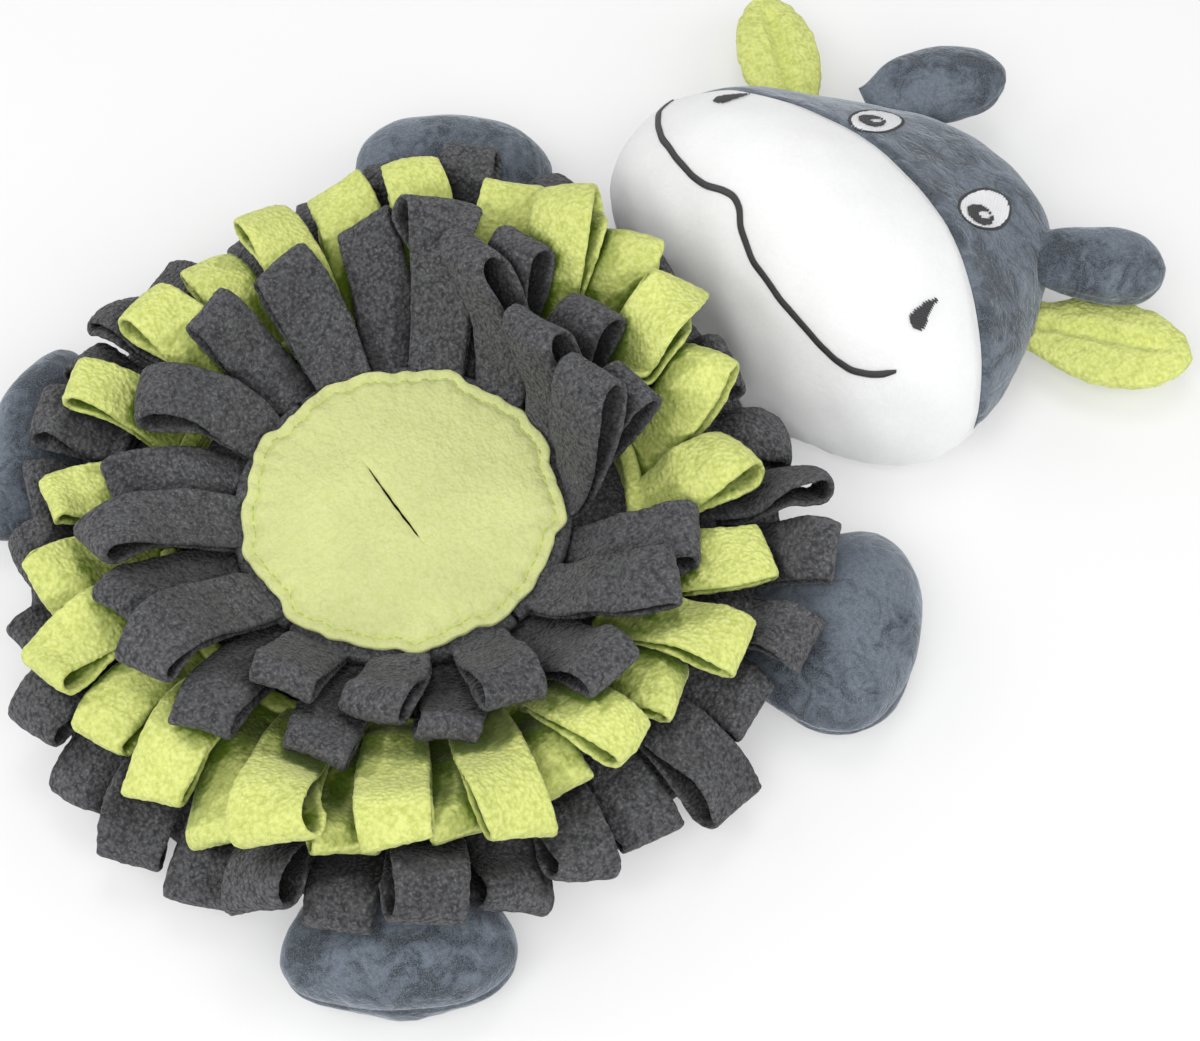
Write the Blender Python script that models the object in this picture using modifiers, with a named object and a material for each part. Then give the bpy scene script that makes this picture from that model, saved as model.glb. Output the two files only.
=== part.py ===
"""Plush snuffle toy: a stuffed round body under three rings of fleece loops, a
slit disc with a treat pocket in the middle, a horned and eared animal head and
four paws.

Metres, +Z up. The origin is the middle of the body's flat underside. +Y runs
from the body to the head, and right means +X, as seen from above.
"""

import math

import bmesh
import bpy
import numpy as np
from mathutils import Matrix, Vector
from mathutils.bvhtree import BVHTree

# Fabrics and clearances
FLEECE = 0.0018
COVER = 0.0016
FIT_GAP = 0.0003
THREAD_RADIUS = 0.0011
OVERRUN = 0.030
SINK = 0.0005
MERGE = 0.00001

# Body cushion
BODY_RADIUS = 0.143
BODY_HEIGHT = 0.031
RIM_HEIGHT = 0.013
FOOT_RADIUS = 0.126
DOME_POWER = 3.0
DOME_ROOT = 0.62
HANG_RADIUS = 0.133
HANG_SLOPE = 0.45
BODY_STEPS = 30
DOME_STEP_SHARES = (0.0, 0.42, 0.68, 0.86, 0.95, 0.99, 1.0)
FOOT_STEPS = 3

# Treat disc
DISC_RADIUS = 0.0592
DISC_WAVE = 0.0013
DISC_WAVE_SHARES = ((9, 1.0, 0.0), (14, 0.6, 1.3))
DISC_CROWN = 0.0015
DISC_SPOKES = 32
DISC_RING_SHARES = (0.50, 0.84, 1.0)
SLIT_LENGTH = 0.040
SLIT_WIDTH = 0.0056
SLIT_AZIMUTH = -2.0
SLIT_MIDDLE = (-0.0025, -0.0020)
SLIT_STEPS = 10
DISC_SEAM_INSET = 0.0060
DISC_THREAD_RADIUS = 0.0006

# Rings of loops: each has two rows, the second sewn on top of the first
LAYER = 0.0058
ROW_THICK = LAYER - FIT_GAP
RUN_THICK = 0.0020
FLAT_GAP = 0.0003
HEADER = 0.008
SEWN_DEPTH = 0.0020
LOOP_WIDTH = 0.027
ROOT_WIDTH = 0.0225
SHUT_GAP = 0.0032
WIDE_GAP = 0.0120
FULL_RISE = 0.042
INNER_ROOT_RADIUS = 0.0635
MIDDLE_ROOT_RADIUS = 0.091
OUTER_ROOT_RADIUS = 0.117
BAND_SPLIT = 0.0014
RUN_STEPS = 3
TIP_STEPS = 3
LOOP_CLEAR = 0.0006
SETTLE_ROUNDS = 24
SETTLE_SHARE = 0.5
MAP_CELL = 0.0012
MAP_REACH = 0.204
FILL_ALONG = 14
FILL_ACROSS = 26
SEAM_SAMPLES = 720
HEADER_STEP_DEG = 18.0

# Reach of each ring's tips from the body's middle
INNER_REACH = 0.113
MIDDLE_REACH = 0.139
OUTER_REACH = 0.158

# Head
HEAD_START_RADIUS = 0.124
HEAD_LENGTH = 0.173
HEAD_HALF_WIDTH = 0.102
HEAD_HEIGHT = 0.079
SIDE_SEAM = 0.012
SEAM_APEX = 0.236
SEAM_SAG = 0.026
SEAM_HALF_SPAN = 0.080
SEAM_OFFSET = 0.005
SEAM_STEPS = 12
HEAD_AROUND = 16
HEAD_POWER = 2.3

# The head leans: its middle line crosses the body's at a share of its length
HEAD_LEAN = 0.020
LEAN_FROM_SHARE = 0.6

# Paws
PAW_AZIMUTHS = {
    "front_right": 41.0,
    "front_left": 139.5,
    "rear_left": 217.0,
    "rear_right": 325.0,
}
PAW_LENGTH_SHARES = {
    "front_right": 1.00,
    "front_left": 1.04,
    "rear_left": 0.65,
    "rear_right": 0.81,
}
PAW_START_RADIUS = 0.122
PAW_LENGTH = 0.075
PAW_HALF_WIDTH = 0.043
PAW_HEIGHT = 0.037
PAW_SEAM = 0.013
PAW_AROUND = 10
PAW_POWER = 2.4
PAW_CLEAR = 0.0022

# Horns and ears
HORN_LENGTH = 0.058
HORN_HALF_WIDTH = 0.0175
HORN_HEIGHT = 0.024
HORN_AROUND = 8
EAR_AROUND = 10
LIMB_POWER = 2.2
EAR_LENGTH = 0.073
EAR_HALF_WIDTH = 0.0185
EAR_HEIGHT = 0.011
EAR_CREASE = 0.0030
CREASE_SHARE = 0.6

SEWN_GAP = 0.0009

# Where the head and the paws hinge, below the seam that holds them
NECK_HINGE_RADIUS = 0.131
PAW_HINGE_RADIUS = 0.128

# Embroidery
EYE_LENGTH = 0.0300
EYE_WIDTH = 0.0180
EYE_TURN = 101.0
EYE_LINE = 0.0016
PUPIL_RADIUS = 0.0050
STITCH_THICK = 0.0009
PATCH_LIFT = 0.0005
NOSTRIL_LENGTH = 0.0160
NOSTRIL_WIDTH = 0.0072
NOSTRIL_TURN = 110.0
PATCH_SPOKES = 12
PATCH_RING_SHARES = (0.55, 1.0)
NOSTRIL_POINT_SHARE = 0.7
MOUTH_POINTS = 25

DOME_GUARD = 1e-9
SHARPEST_SHELL = 1.4

# Stations along the head: share of its length, then shares of its half width
# and height
HEAD_SHARES = (
    (0.000, 0.00, 0.040),
    (0.035, 0.40, 0.090),
    (0.081, 0.50, 0.130),
    (0.142, 0.60, 0.170),
    (0.156, 0.67, 0.400),
    (0.182, 0.76, 0.640),
    (0.237, 0.86, 0.840),
    (0.324, 0.93, 0.960),
    (0.416, 0.95, 1.000),
    (0.517, 0.91, 0.960),
    (0.613, 0.825, 0.860),
    (0.711, 0.705, 0.735),
    (0.809, 0.570, 0.610),
    (0.896, 0.450, 0.530),
    (0.960, 0.315, 0.420),
    (0.985, 0.190, 0.300),
    (1.000, 0.00, 0.160),
)

# The filling stops short of the flat neck, with a blunt end
NECK_STATIONS = 4
NECK_END_SHARES = HEAD_SHARES[NECK_STATIONS]
HEAD_FILL_SHARES = (NECK_END_SHARES,) + HEAD_SHARES[NECK_STATIONS:]

# Stations along a paw, in the same way
PAW_SHARES = (
    (0.00, 0.00, 0.36),
    (0.02, 0.52, 0.42),
    (0.20, 0.68, 0.56),
    (0.38, 0.84, 0.80),
    (0.58, 0.98, 0.98),
    (0.76, 0.97, 1.00),
    (0.90, 0.76, 0.86),
    (0.98, 0.40, 0.62),
    (1.00, 0.00, 0.36),
)

# Stations along a horn and an ear: share of length, half width and thickness
HORN_SHARES = (
    (0.00, 0.00, 0.00),
    (0.02, 0.72, 0.26),
    (0.16, 0.80, 0.40),
    (0.34, 0.92, 0.86),
    (0.60, 1.00, 1.00),
    (0.84, 0.82, 0.84),
    (0.97, 0.40, 0.42),
    (1.00, 0.00, 0.00),
)
EAR_SHARES = (
    (0.00, 0.00, 0.00),
    (0.02, 0.46, 0.40),
    (0.16, 0.62, 0.46),
    (0.36, 0.92, 0.92),
    (0.60, 1.00, 1.00),
    (0.80, 0.82, 0.90),
    (0.95, 0.42, 0.60),
    (1.00, 0.00, 0.00),
)

# Each loop: where it is sewn and where its tip points, in degrees round the
# body, then shares of its ring's reach, of the full rise and of the wide gap
INNER_LOOP_SHARES = (
    (8, 8, 0.98, 0.10, 0.00),
    (23, 31, 0.95, 0.12, 0.00),
    (41, 44, 0.96, 0.05, 0.00),
    (60, 66, 0.78, 0.12, 0.60),
    (72, 77, 0.92, 0.00, 0.00),
    (84, 90, 0.78, 0.14, 0.60),
    (96, 101, 0.93, 0.00, 0.00),
    (108, 117, 0.80, 0.16, 0.75),
    (120, 122, 0.97, 0.00, 0.00),
    (134, 138, 1.02, 0.06, 0.00),
    (150, 152, 1.02, 0.05, 0.00),
    (167, 171, 0.95, 0.10, 0.00),
    (185, 189, 0.93, 0.00, 0.00),
    (203, 210, 0.92, 0.10, 0.00),
    (221, 232, 0.94, 0.00, 0.00),
    (238, 247, 0.98, 0.10, 0.00),
    (255, 262, 0.98, 0.00, 0.00),
    (270, 276, 1.02, 0.10, 0.00),
    (285, 290, 1.02, 0.00, 0.00),
    (298, 300, 0.82, 0.05, 0.00),
    (312, 311, 0.98, 0.00, 0.00),
    (325, 321, 0.84, 0.05, 0.00),
    (338, 336, 0.92, 0.00, 0.00),
    (353, 350, 0.88, 0.12, 0.00),
)
MIDDLE_LOOP_SHARES = (
    (13, 16, 0.90, 0.00, 0.00),
    (26, 27, 0.98, 0.04, 0.00),
    (41, 46, 0.98, 0.05, 0.00),
    (56, 62, 0.92, 0.05, 0.00),
    (71, 79, 0.92, 0.00, 0.00),
    (85, 92, 0.96, 0.05, 0.45),
    (98, 104, 0.99, 0.00, 0.00),
    (111, 115, 0.99, 0.08, 0.45),
    (125, 127, 1.04, 0.04, 0.00),
    (140, 144, 1.08, 0.06, 0.00),
    (153, 156, 1.06, 0.08, 0.00),
    (166, 169, 1.00, 0.08, 0.00),
    (180, 180, 0.98, 0.00, 0.00),
    (194, 194, 0.96, 0.05, 0.00),
    (210, 212, 0.96, 0.00, 0.00),
    (228, 233, 0.94, 0.00, 0.00),
    (244, 249, 0.96, -0.02, 0.00),
    (258, 263, 1.02, 0.00, 0.00),
    (271, 275, 1.00, -0.04, 0.00),
    (284, 288, 1.02, 0.00, 0.00),
    (295, 299, 1.02, -0.04, 0.00),
    (305, 309, 1.02, 0.00, 0.00),
    (315, 318, 1.00, 0.00, 0.00),
    (325, 326, 1.02, 0.06, 0.00),
    (334, 335, 0.95, 0.00, 0.00),
    (343, 343, 1.02, 0.05, 0.00),
    (352, 352, 0.90, 0.00, 0.00),
    (360, 363, 0.94, 0.06, 0.00),
)
OUTER_LOOP_SHARES = (
    (2, 1, 0.96, 0.05, 0.00),
    (13, 12, 1.02, -0.10, 0.55),
    (24, 24, 0.94, 0.10, 0.00),
    (36, 34, 1.00, 0.10, 0.00),
    (48, 47, 1.02, 0.10, 0.00),
    (59, 59, 1.00, 0.10, 0.00),
    (71, 70, 0.94, 0.05, 0.00),
    (82, 81, 0.88, 0.05, 0.00),
    (93, 92, 0.88, 0.06, 0.00),
    (104, 103, 0.92, 0.08, 0.00),
    (115, 113, 0.97, 0.08, 0.00),
    (126, 121, 1.03, 0.16, 0.55),
    (137, 136, 1.04, 0.05, 0.00),
    (148, 147, 1.02, 0.10, 0.00),
    (160, 158, 0.99, 0.10, 0.00),
    (171, 170, 0.99, 0.00, 0.00),
    (183, 182, 0.96, 0.05, 0.00),
    (194, 193, 0.97, -0.10, 0.00),
    (205, 205, 0.98, 0.10, 0.00),
    (216, 217, 0.97, 0.05, 0.00),
    (227, 229, 0.95, 0.10, 0.00),
    (239, 241, 0.93, 0.00, 0.00),
    (250, 253, 0.95, 0.00, 0.00),
    (262, 265, 0.96, -0.12, 0.00),
    (273, 276, 0.98, -0.05, 0.00),
    (284, 287, 1.00, -0.14, 0.00),
    (296, 298, 1.00, 0.00, 0.00),
    (307, 308, 1.00, 0.05, 0.00),
    (318, 318, 1.02, 0.12, 0.00),
    (329, 329, 1.00, 0.08, 0.55),
    (341, 340, 0.98, 0.05, 0.00),
    (352, 350, 0.97, -0.10, 0.00),
)
BANDS_PER_ROW = 4

# How late along its length a loop starts to rise: upper and lower row of each
# ring, then those that hang; and how late it starts to swell
RISE_POWERS = ((2.4, 1.25), (3.0, 3.0), (3.0, 3.0))
HANG_POWER = 2.6
SWELL_FROM_SHARE = 0.72
LEAVE_SHARE = 0.55
WIDEN_SHARE = 0.5
PARTING_SHARE = 0.2

# Where the mouth line runs, as shares of the head's half width and length,
# from its left end to its right
MOUTH_SHARES = (
    (-0.879, 0.402),
    (-0.859, 0.351),
    (-0.776, 0.311),
    (-0.687, 0.283),
    (-0.557, 0.264),
    (-0.443, 0.257),
    (-0.354, 0.259),
    (-0.291, 0.272),
    (-0.235, 0.280),
    (-0.180, 0.272),
    (-0.131, 0.250),
    (-0.002, 0.228),
    (0.183, 0.220),
    (0.402, 0.228),
    (0.479, 0.236),
    (0.552, 0.247),
    (0.604, 0.266),
    (0.638, 0.286),
    (0.656, 0.302),
)
NOSTRIL_SHARES = {"right": (0.569, 0.434), "left": (-0.634, 0.461)}
EYE_SHARES = {"right": (0.280, 0.770), "left": (-0.272, 0.717)}

# How far each pupil sits from its eye's middle, as shares of the eye's size
PUPIL_SHARES = {"right": (0.12, -0.17), "left": (0.01, -0.10)}

# Where horns and ears start, as shares of the head's half width and length,
# the way each points in degrees, how far it bends on the way, and its height
HORN_PLACE_SHARES = {
    "right": (0.490, 0.792, 49.0, -8.0, 0.43),
    "left": (-0.333, 0.798, 132.0, -90.0, 0.43),
}
EAR_PLACE_SHARES = {
    "right": (0.578, 0.751, 34.0, 6.0, 0.19),
    "left": (-0.637, 0.700, 163.0, -4.0, 0.19),
}

HEAD_NAMES = ("head_", "muzzle_", "crown_", "mouth_", "eye_", "nostril_")

COLOURS = {
    "charcoal_fleece": ((0.105, 0.103, 0.118, 1.0), 0.95),
    "lime_fleece": ((0.560, 0.720, 0.085, 1.0), 0.95),
    "grey_plush": ((0.105, 0.130, 0.160, 1.0), 0.85),
    "white_fleece": ((0.900, 0.900, 0.890, 1.0), 0.95),
    "side_cloth": ((0.085, 0.088, 0.100, 1.0), 0.90),
    "black_thread": ((0.012, 0.012, 0.014, 1.0), 0.55),
    "white_thread": ((0.850, 0.850, 0.860, 1.0), 0.50),
    "lime_thread": ((0.430, 0.560, 0.070, 1.0), 0.70),
    "fibre_fill": ((0.800, 0.790, 0.760, 1.0), 1.00),
}


def clear_scene():
    for obj in list(bpy.data.objects):
        bpy.data.objects.remove(obj)


def new_collection(name):
    made = bpy.data.collections.new(name)
    bpy.context.scene.collection.children.link(made)
    return made


clear_scene()
TOY = new_collection("snuffle_toy")
CUTTERS = new_collection("cutters")


def give_material(obj, colour_name):
    """Each piece has its own Principled material."""
    colour, roughness = COLOURS[colour_name]
    material = bpy.data.materials.new(obj.name)
    material.use_nodes = True
    shader = material.node_tree.nodes["Principled BSDF"]
    shader.inputs["Base Color"].default_value = colour
    shader.inputs["Roughness"].default_value = roughness
    shader.inputs["Metallic"].default_value = 0.0
    material.diffuse_color = colour
    obj.data.materials.append(material)


def piece(name, mesh, colour_name):
    obj = bpy.data.objects.new(name, mesh)
    TOY.objects.link(obj)
    give_material(obj, colour_name)
    return obj


def cutter(name, mesh):
    obj = bpy.data.objects.new(name, mesh)
    CUTTERS.objects.link(obj)
    obj.hide_render = True
    obj.display_type = "WIRE"
    return obj


def boolean(obj, operand, operation, folded=False):
    modifier = obj.modifiers.new(operation.lower() + "_" + operand.name, "BOOLEAN")
    modifier.operation = operation
    modifier.solver = "EXACT"
    modifier.use_self = folded
    modifier.object = operand


def mesh_from(name, build, smooth=True):
    """A mesh that the given function fills in bmesh."""
    mesh = bpy.data.meshes.new(name)
    shape = bmesh.new()
    build(shape)
    shape.to_mesh(mesh)
    shape.free()
    if smooth:
        mesh.shade_smooth()
    return mesh


def eased(value):
    clipped = np.clip(value, 0.0, 1.0)
    return clipped * clipped * (3.0 - 2.0 * clipped)


def table(shares, column):
    return np.array([row[column] for row in shares])


# The cushion's outline
def dome_height(radius):
    """Height of the cushion's upper face at this distance from its middle."""
    share = np.clip(np.asarray(radius) / BODY_RADIUS, 0.0, 1.0)
    fall = np.clip(1.0 - share**DOME_POWER, DOME_GUARD, 1.0) ** DOME_ROOT
    return RIM_HEIGHT + (BODY_HEIGHT - RIM_HEIGHT) * fall


def cushion_profile(inset):
    """Points of the cushion's side view, from the top middle down to the floor."""
    reach = BODY_RADIUS - inset
    upper = [
        (share * reach, dome_height(share * BODY_RADIUS) - inset)
        for share in DOME_STEP_SHARES[:-1]
    ]
    upper.append((reach, RIM_HEIGHT))
    foot = FOOT_RADIUS - inset
    lower = []
    for step in range(1, FOOT_STEPS + 1):
        turn = 0.5 * math.pi * step / FOOT_STEPS
        across = foot + (reach - foot) * math.cos(turn)
        lower.append((across, RIM_HEIGHT - (RIM_HEIGHT - inset) * math.sin(turn)))
    return upper, lower + [(0.0, inset)]


def turned(name, profile):
    """A mesh with a Screw, from a side view whose outer edge runs downwards."""

    def build(shape):
        points = [shape.verts.new((x, 0.0, z)) for x, z in profile]
        for first, second in zip(points, points[1:]):
            shape.edges.new((first, second))

    mesh = mesh_from(name, build, smooth=False)

    def add_screw(obj):
        screw = obj.modifiers.new("turn", "SCREW")
        screw.steps = BODY_STEPS
        screw.render_steps = BODY_STEPS
        screw.use_merge_vertices = True
        screw.merge_threshold = MERGE
        screw.use_smooth_shade = True

    return mesh, add_screw


def make_cushion():
    half_gap = 0.5 * FIT_GAP
    upper, lower = cushion_profile(0.0)
    upper_in, lower_in = cushion_profile(COVER)
    rim_out = upper[-1][0]
    rim_in = upper_in[-1][0]
    top = upper[:-1] + [(rim_out, RIM_HEIGHT + half_gap), (rim_in, RIM_HEIGHT + half_gap)]
    top += list(reversed(upper_in[:-1]))
    mesh, add_screw = turned("top_cover", top)
    add_screw(piece("body_top_cover", mesh, "charcoal_fleece"))
    base = list(reversed(lower_in))
    base += [(rim_in, RIM_HEIGHT - half_gap), (rim_out, RIM_HEIGHT - half_gap)]
    base += lower
    mesh, add_screw = turned("base_cover", base)
    add_screw(piece("body_base_cover", mesh, "side_cloth"))
    fill_upper, fill_lower = cushion_profile(COVER + FIT_GAP)
    mesh, add_screw = turned("stuffing", fill_upper + fill_lower)
    add_screw(piece("body_stuffing", mesh, "fibre_fill"))


def body_cutter():
    """The cushion's outline with its clearance: it shapes what is sewn to the rim."""
    upper, _ = cushion_profile(-FIT_GAP)
    rim = upper[-1][0]
    mesh, add_screw = turned("body_outline", upper + [(rim, -OVERRUN), (0.0, -OVERRUN)])
    made = cutter("body_outline", mesh)
    add_screw(made)
    return made


# Stuffed forms: sections along a spine, each with its own width and height
def paw_half_width(share):
    return PAW_HALF_WIDTH * np.interp(share, table(PAW_SHARES, 0), table(PAW_SHARES, 1))


def paw_height(share):
    return PAW_HEIGHT * np.interp(share, table(PAW_SHARES, 0), table(PAW_SHARES, 2))


def paw_top(x, y, place):
    """Height of a paw's upper face over a point, or zero beside it."""
    turn = math.radians(PAW_AZIMUTHS[place])
    length = PAW_LENGTH * PAW_LENGTH_SHARES[place]
    along = x * math.cos(turn) + y * math.sin(turn) - PAW_START_RADIUS
    aside = np.abs(y * math.cos(turn) - x * math.sin(turn))
    share = np.clip(along / length, 0.0, 1.0)
    half = np.maximum(paw_half_width(share) + PAW_CLEAR, DOME_GUARD)
    inside = np.clip(1.0 - (aside / half) ** PAW_POWER, 0.0, 1.0) ** (1.0 / PAW_POWER)
    height = PAW_SEAM + (paw_height(share) + PAW_CLEAR - PAW_SEAM) * inside
    return np.where((along > 0.0) & (inside > 0.0), height, 0.0)


def ground_height(x, y):
    """What the lowest row of loops lies on: the dome, the paws, then the drop."""
    radius = np.hypot(x, y)
    drop = dome_height(HANG_RADIUS) - HANG_SLOPE * (radius - HANG_RADIUS)
    ground = np.where(radius < HANG_RADIUS, dome_height(radius), 0.0)
    ground = np.maximum(ground, np.where(radius < HANG_RADIUS, 0.0, drop))
    ground = np.where(radius < BODY_RADIUS, np.maximum(ground, dome_height(radius)), ground)
    for place in PAW_AZIMUTHS:
        ground = np.maximum(ground, paw_top(x, y, place))
    return ground


# A map of how high everything laid so far reaches: each row comes to rest on it
MAP_SIDE = np.arange(-MAP_REACH, MAP_REACH + 0.5 * MAP_CELL, MAP_CELL)
MAP_X, MAP_Y = np.meshgrid(MAP_SIDE, MAP_SIDE, indexing="ij")
height_map = ground_height(MAP_X, MAP_Y)


def cells_of(points):
    last = len(MAP_SIDE) - 1
    return tuple(
        np.clip(np.rint((points[..., axis] + MAP_REACH) / MAP_CELL).astype(int), 0, last)
        for axis in (0, 1)
    )


def widened(heights):
    """The highest value among each cell and its eight neighbours."""
    result = heights
    for axis in (0, 1):
        shifted = (np.roll(result, 1, axis), np.roll(result, -1, axis))
        result = np.maximum(result, np.maximum(*shifted))
    return result


def lay_down(points):
    np.maximum.at(height_map, cells_of(points), points[..., 2])


RINGS = (
    ("inner", INNER_ROOT_RADIUS, INNER_REACH, INNER_LOOP_SHARES, "charcoal_fleece"),
    ("middle", MIDDLE_ROOT_RADIUS, MIDDLE_REACH, MIDDLE_LOOP_SHARES, "lime_fleece"),
    ("outer", OUTER_ROOT_RADIUS, OUTER_REACH, OUTER_LOOP_SHARES, "charcoal_fleece"),
)


def header_level(radius, row):
    """Height that a sewn edge of the first or second row rests at."""
    return dome_height(radius) + FIT_GAP + LAYER * row


def loop_surface(ring, loop, rest):
    """Middle surface of one loop, as a grid of points: out along its lower run,
    round the tip and back along its upper run. What it rests on is given at
    even stations along it."""
    root_radius, reach = RINGS[ring][1], RINGS[ring][2]
    root_deg, tip_deg, reach_share, _, open_share = loop
    root_turn, tip_turn = math.radians(root_deg), math.radians(tip_deg)
    outward = np.array((math.cos(root_turn), math.sin(root_turn)))
    start = (root_radius - SEWN_DEPTH) * outward
    end = reach * reach_share * np.array((math.cos(tip_turn), math.sin(tip_turn)))
    bend = start + LEAVE_SHARE * np.linalg.norm(end - start) * outward
    sewn = SEWN_DEPTH / np.linalg.norm(end - start)

    share = np.linspace(0.0, 1.0, RUN_STEPS + 1)[:, None]
    plan = (1 - share) ** 2 * start + 2 * share * (1 - share) * bend + share**2 * end
    heading = (1 - share) * (bend - start) + share * (end - bend)
    heading /= np.linalg.norm(heading, axis=1, keepdims=True)
    aside = np.stack((-heading[:, 1], heading[:, 0]), axis=1)
    spread = np.array((-0.5, 0.5))
    width = ROOT_WIDTH + (LOOP_WIDTH - ROOT_WIDTH) * eased(share / WIDEN_SHARE)
    points = plan[:, None, :] + (width * spread)[:, :, None] * aside[:, None, :]

    free = np.clip((share - sewn) / (1.0 - sewn), 0.0, 1.0)
    gap_now = SHUT_GAP + (WIDE_GAP - SHUT_GAP) * open_share
    swell_from = SWELL_FROM_SHARE * (1.0 - open_share) ** 2
    shut = 0.5 * RUN_THICK
    flat = shut + 0.5 * FLAT_GAP * eased(free / PARTING_SHARE)
    swell = eased((free - swell_from) / (1.0 - swell_from))
    half = flat + (0.5 * (FLEECE + gap_now) - flat) * swell
    level = np.broadcast_to(rest[:, None] + shut + half, points.shape[:2])
    centre = np.concatenate((points, level[..., None]), axis=2)

    step = np.gradient(centre, axis=0)
    forward = step / np.linalg.norm(step, axis=2, keepdims=True)
    sideways = np.concatenate((aside, np.zeros((len(aside), 1))), axis=1)[:, None, :]
    up = np.cross(forward, np.broadcast_to(sideways, forward.shape))
    up /= np.linalg.norm(up, axis=2, keepdims=True)
    lower = centre - up * half[..., None]
    upper = centre + up * half[..., None]
    turns = np.linspace(-0.5 * math.pi, 0.5 * math.pi, TIP_STEPS + 1)[1:-1, None, None]
    tip = centre[-1] + half[-1][:, None] * (
        np.cos(turns) * forward[-1] + np.sin(turns) * up[-1]
    )
    return np.concatenate((lower, tip, upper[::-1]), axis=0)


def planned_rise(ring, row, loop):
    """How far a loop stands off what it lies on, at each station."""
    free = np.linspace(0.0, 1.0, RUN_STEPS + 1)
    bow = RISE_POWERS[ring][row] if loop[3] > 0.0 else HANG_POWER
    return FULL_RISE * loop[3] * free**bow


def grid_sides(grid, thickness):
    offset = 0.5 * thickness * grid_normals(grid)
    return grid + offset, grid - offset


def filled_in(side):
    """Close points all over a grid's faces, each with its place along the rows."""
    down = np.linspace(0.0, len(side) - 1.0, (len(side) - 1) * FILL_ALONG + 1)
    over = np.linspace(0.0, 1.0, FILL_ACROSS + 1)
    first = np.minimum(down.astype(int), len(side) - 2)
    part = (down - first)[:, None]
    edges = [(1 - part) * side[first, j] + part * side[first + 1, j] for j in (0, -1)]
    points = edges[0][:, None] + (edges[1] - edges[0])[:, None] * over[None, :, None]
    return points, down


def settled(ring, row, loop, floor, ceiling):
    """Heights at which one loop rests on what lies below it, without cutting it."""
    rest = np.full(RUN_STEPS + 1, header_level(RINGS[ring][1] - SEWN_DEPTH, row))
    run, _ = filled_in(loop_surface(ring, loop, rest)[: RUN_STEPS + 1])
    rest[1:] = floor[cells_of(run[::FILL_ALONG])].max(axis=1)[1:] + FIT_GAP
    rest += planned_rise(ring, row, loop)
    for _ in range(SETTLE_ROUNDS):
        grid = loop_surface(ring, loop, rest)
        worst = 0.0
        for side in grid_sides(grid, FLEECE):
            points, down = filled_in(side)
            sunk = (ceiling[cells_of(points)] + LOOP_CLEAR - points[..., 2]).max(axis=1)
            station = np.where(down > RUN_STEPS, np.maximum(down[-1] - down, 0.0), down)
            station = np.where(
                (down > RUN_STEPS) & (down < down[-1] - RUN_STEPS), float(RUN_STEPS), station
            )
            for i in range(RUN_STEPS + 1):
                near = np.abs(station - i) < 1.0
                if i == 0 or not near.any():
                    continue
                push = sunk[near].max()
                if push > 0.0:
                    worst = max(worst, push)
                    rest[i] += SETTLE_SHARE * push
        if worst <= 0.0:
            break
    return rest


def grid_normals(grid):
    along = np.gradient(grid, axis=0)
    across = np.gradient(grid, axis=1)
    normal = np.cross(along, across)
    return normal / np.linalg.norm(normal, axis=2, keepdims=True)


def grid_faces(shape, grid):
    """An open sheet over a grid of points."""
    rows = [[shape.verts.new(point) for point in row] for row in grid]
    for before, after in zip(rows, rows[1:]):
        for j in range(len(before) - 1):
            shape.faces.new((before[j], after[j], after[j + 1], before[j + 1]))


def header_mesh(name, ring, row, start_deg, end_deg):
    """The sewn edge of a band: both folds stitched flat, along an arc."""
    root_radius = RINGS[ring][1]
    steps = max(2, math.ceil((end_deg - start_deg) / HEADER_STEP_DEG))
    turns = [math.radians(a) for a in np.linspace(start_deg, end_deg, steps + 1)]

    def build(shape):
        sections = []
        for turn in turns:
            corners = []
            for radius, level in (
                (root_radius - HEADER, 0.0),
                (root_radius, 0.0),
                (root_radius, ROW_THICK),
                (root_radius - HEADER, ROW_THICK),
            ):
                x, y = radius * math.cos(turn), radius * math.sin(turn)
                seat = float(header_level(radius, row))
                corners.append(shape.verts.new((x, y, seat + level)))
            sections.append(corners)
        for first, second in zip(sections, sections[1:]):
            for i in range(4):
                j = (i + 1) % 4
                shape.faces.new((first[i], second[i], second[j], first[j]))
        shape.faces.new(sections[0])
        shape.faces.new(reversed(sections[-1]))
        bmesh.ops.recalc_face_normals(shape, faces=shape.faces)

    return mesh_from(name, build, smooth=False)


def band_ends(mine, indices, split):
    """Where a band's sewn edge starts and ends, in degrees."""
    before = mine[indices[0] - 1][0] - (360 if indices[0] == 0 else 0)
    last = indices[-1] + 1
    after = mine[last % len(mine)][0] + (360 if last == len(mine) else 0)
    start = 0.5 * (before + mine[indices[0]][0] + split)
    return start, 0.5 * (after + mine[indices[-1]][0] - split)


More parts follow.
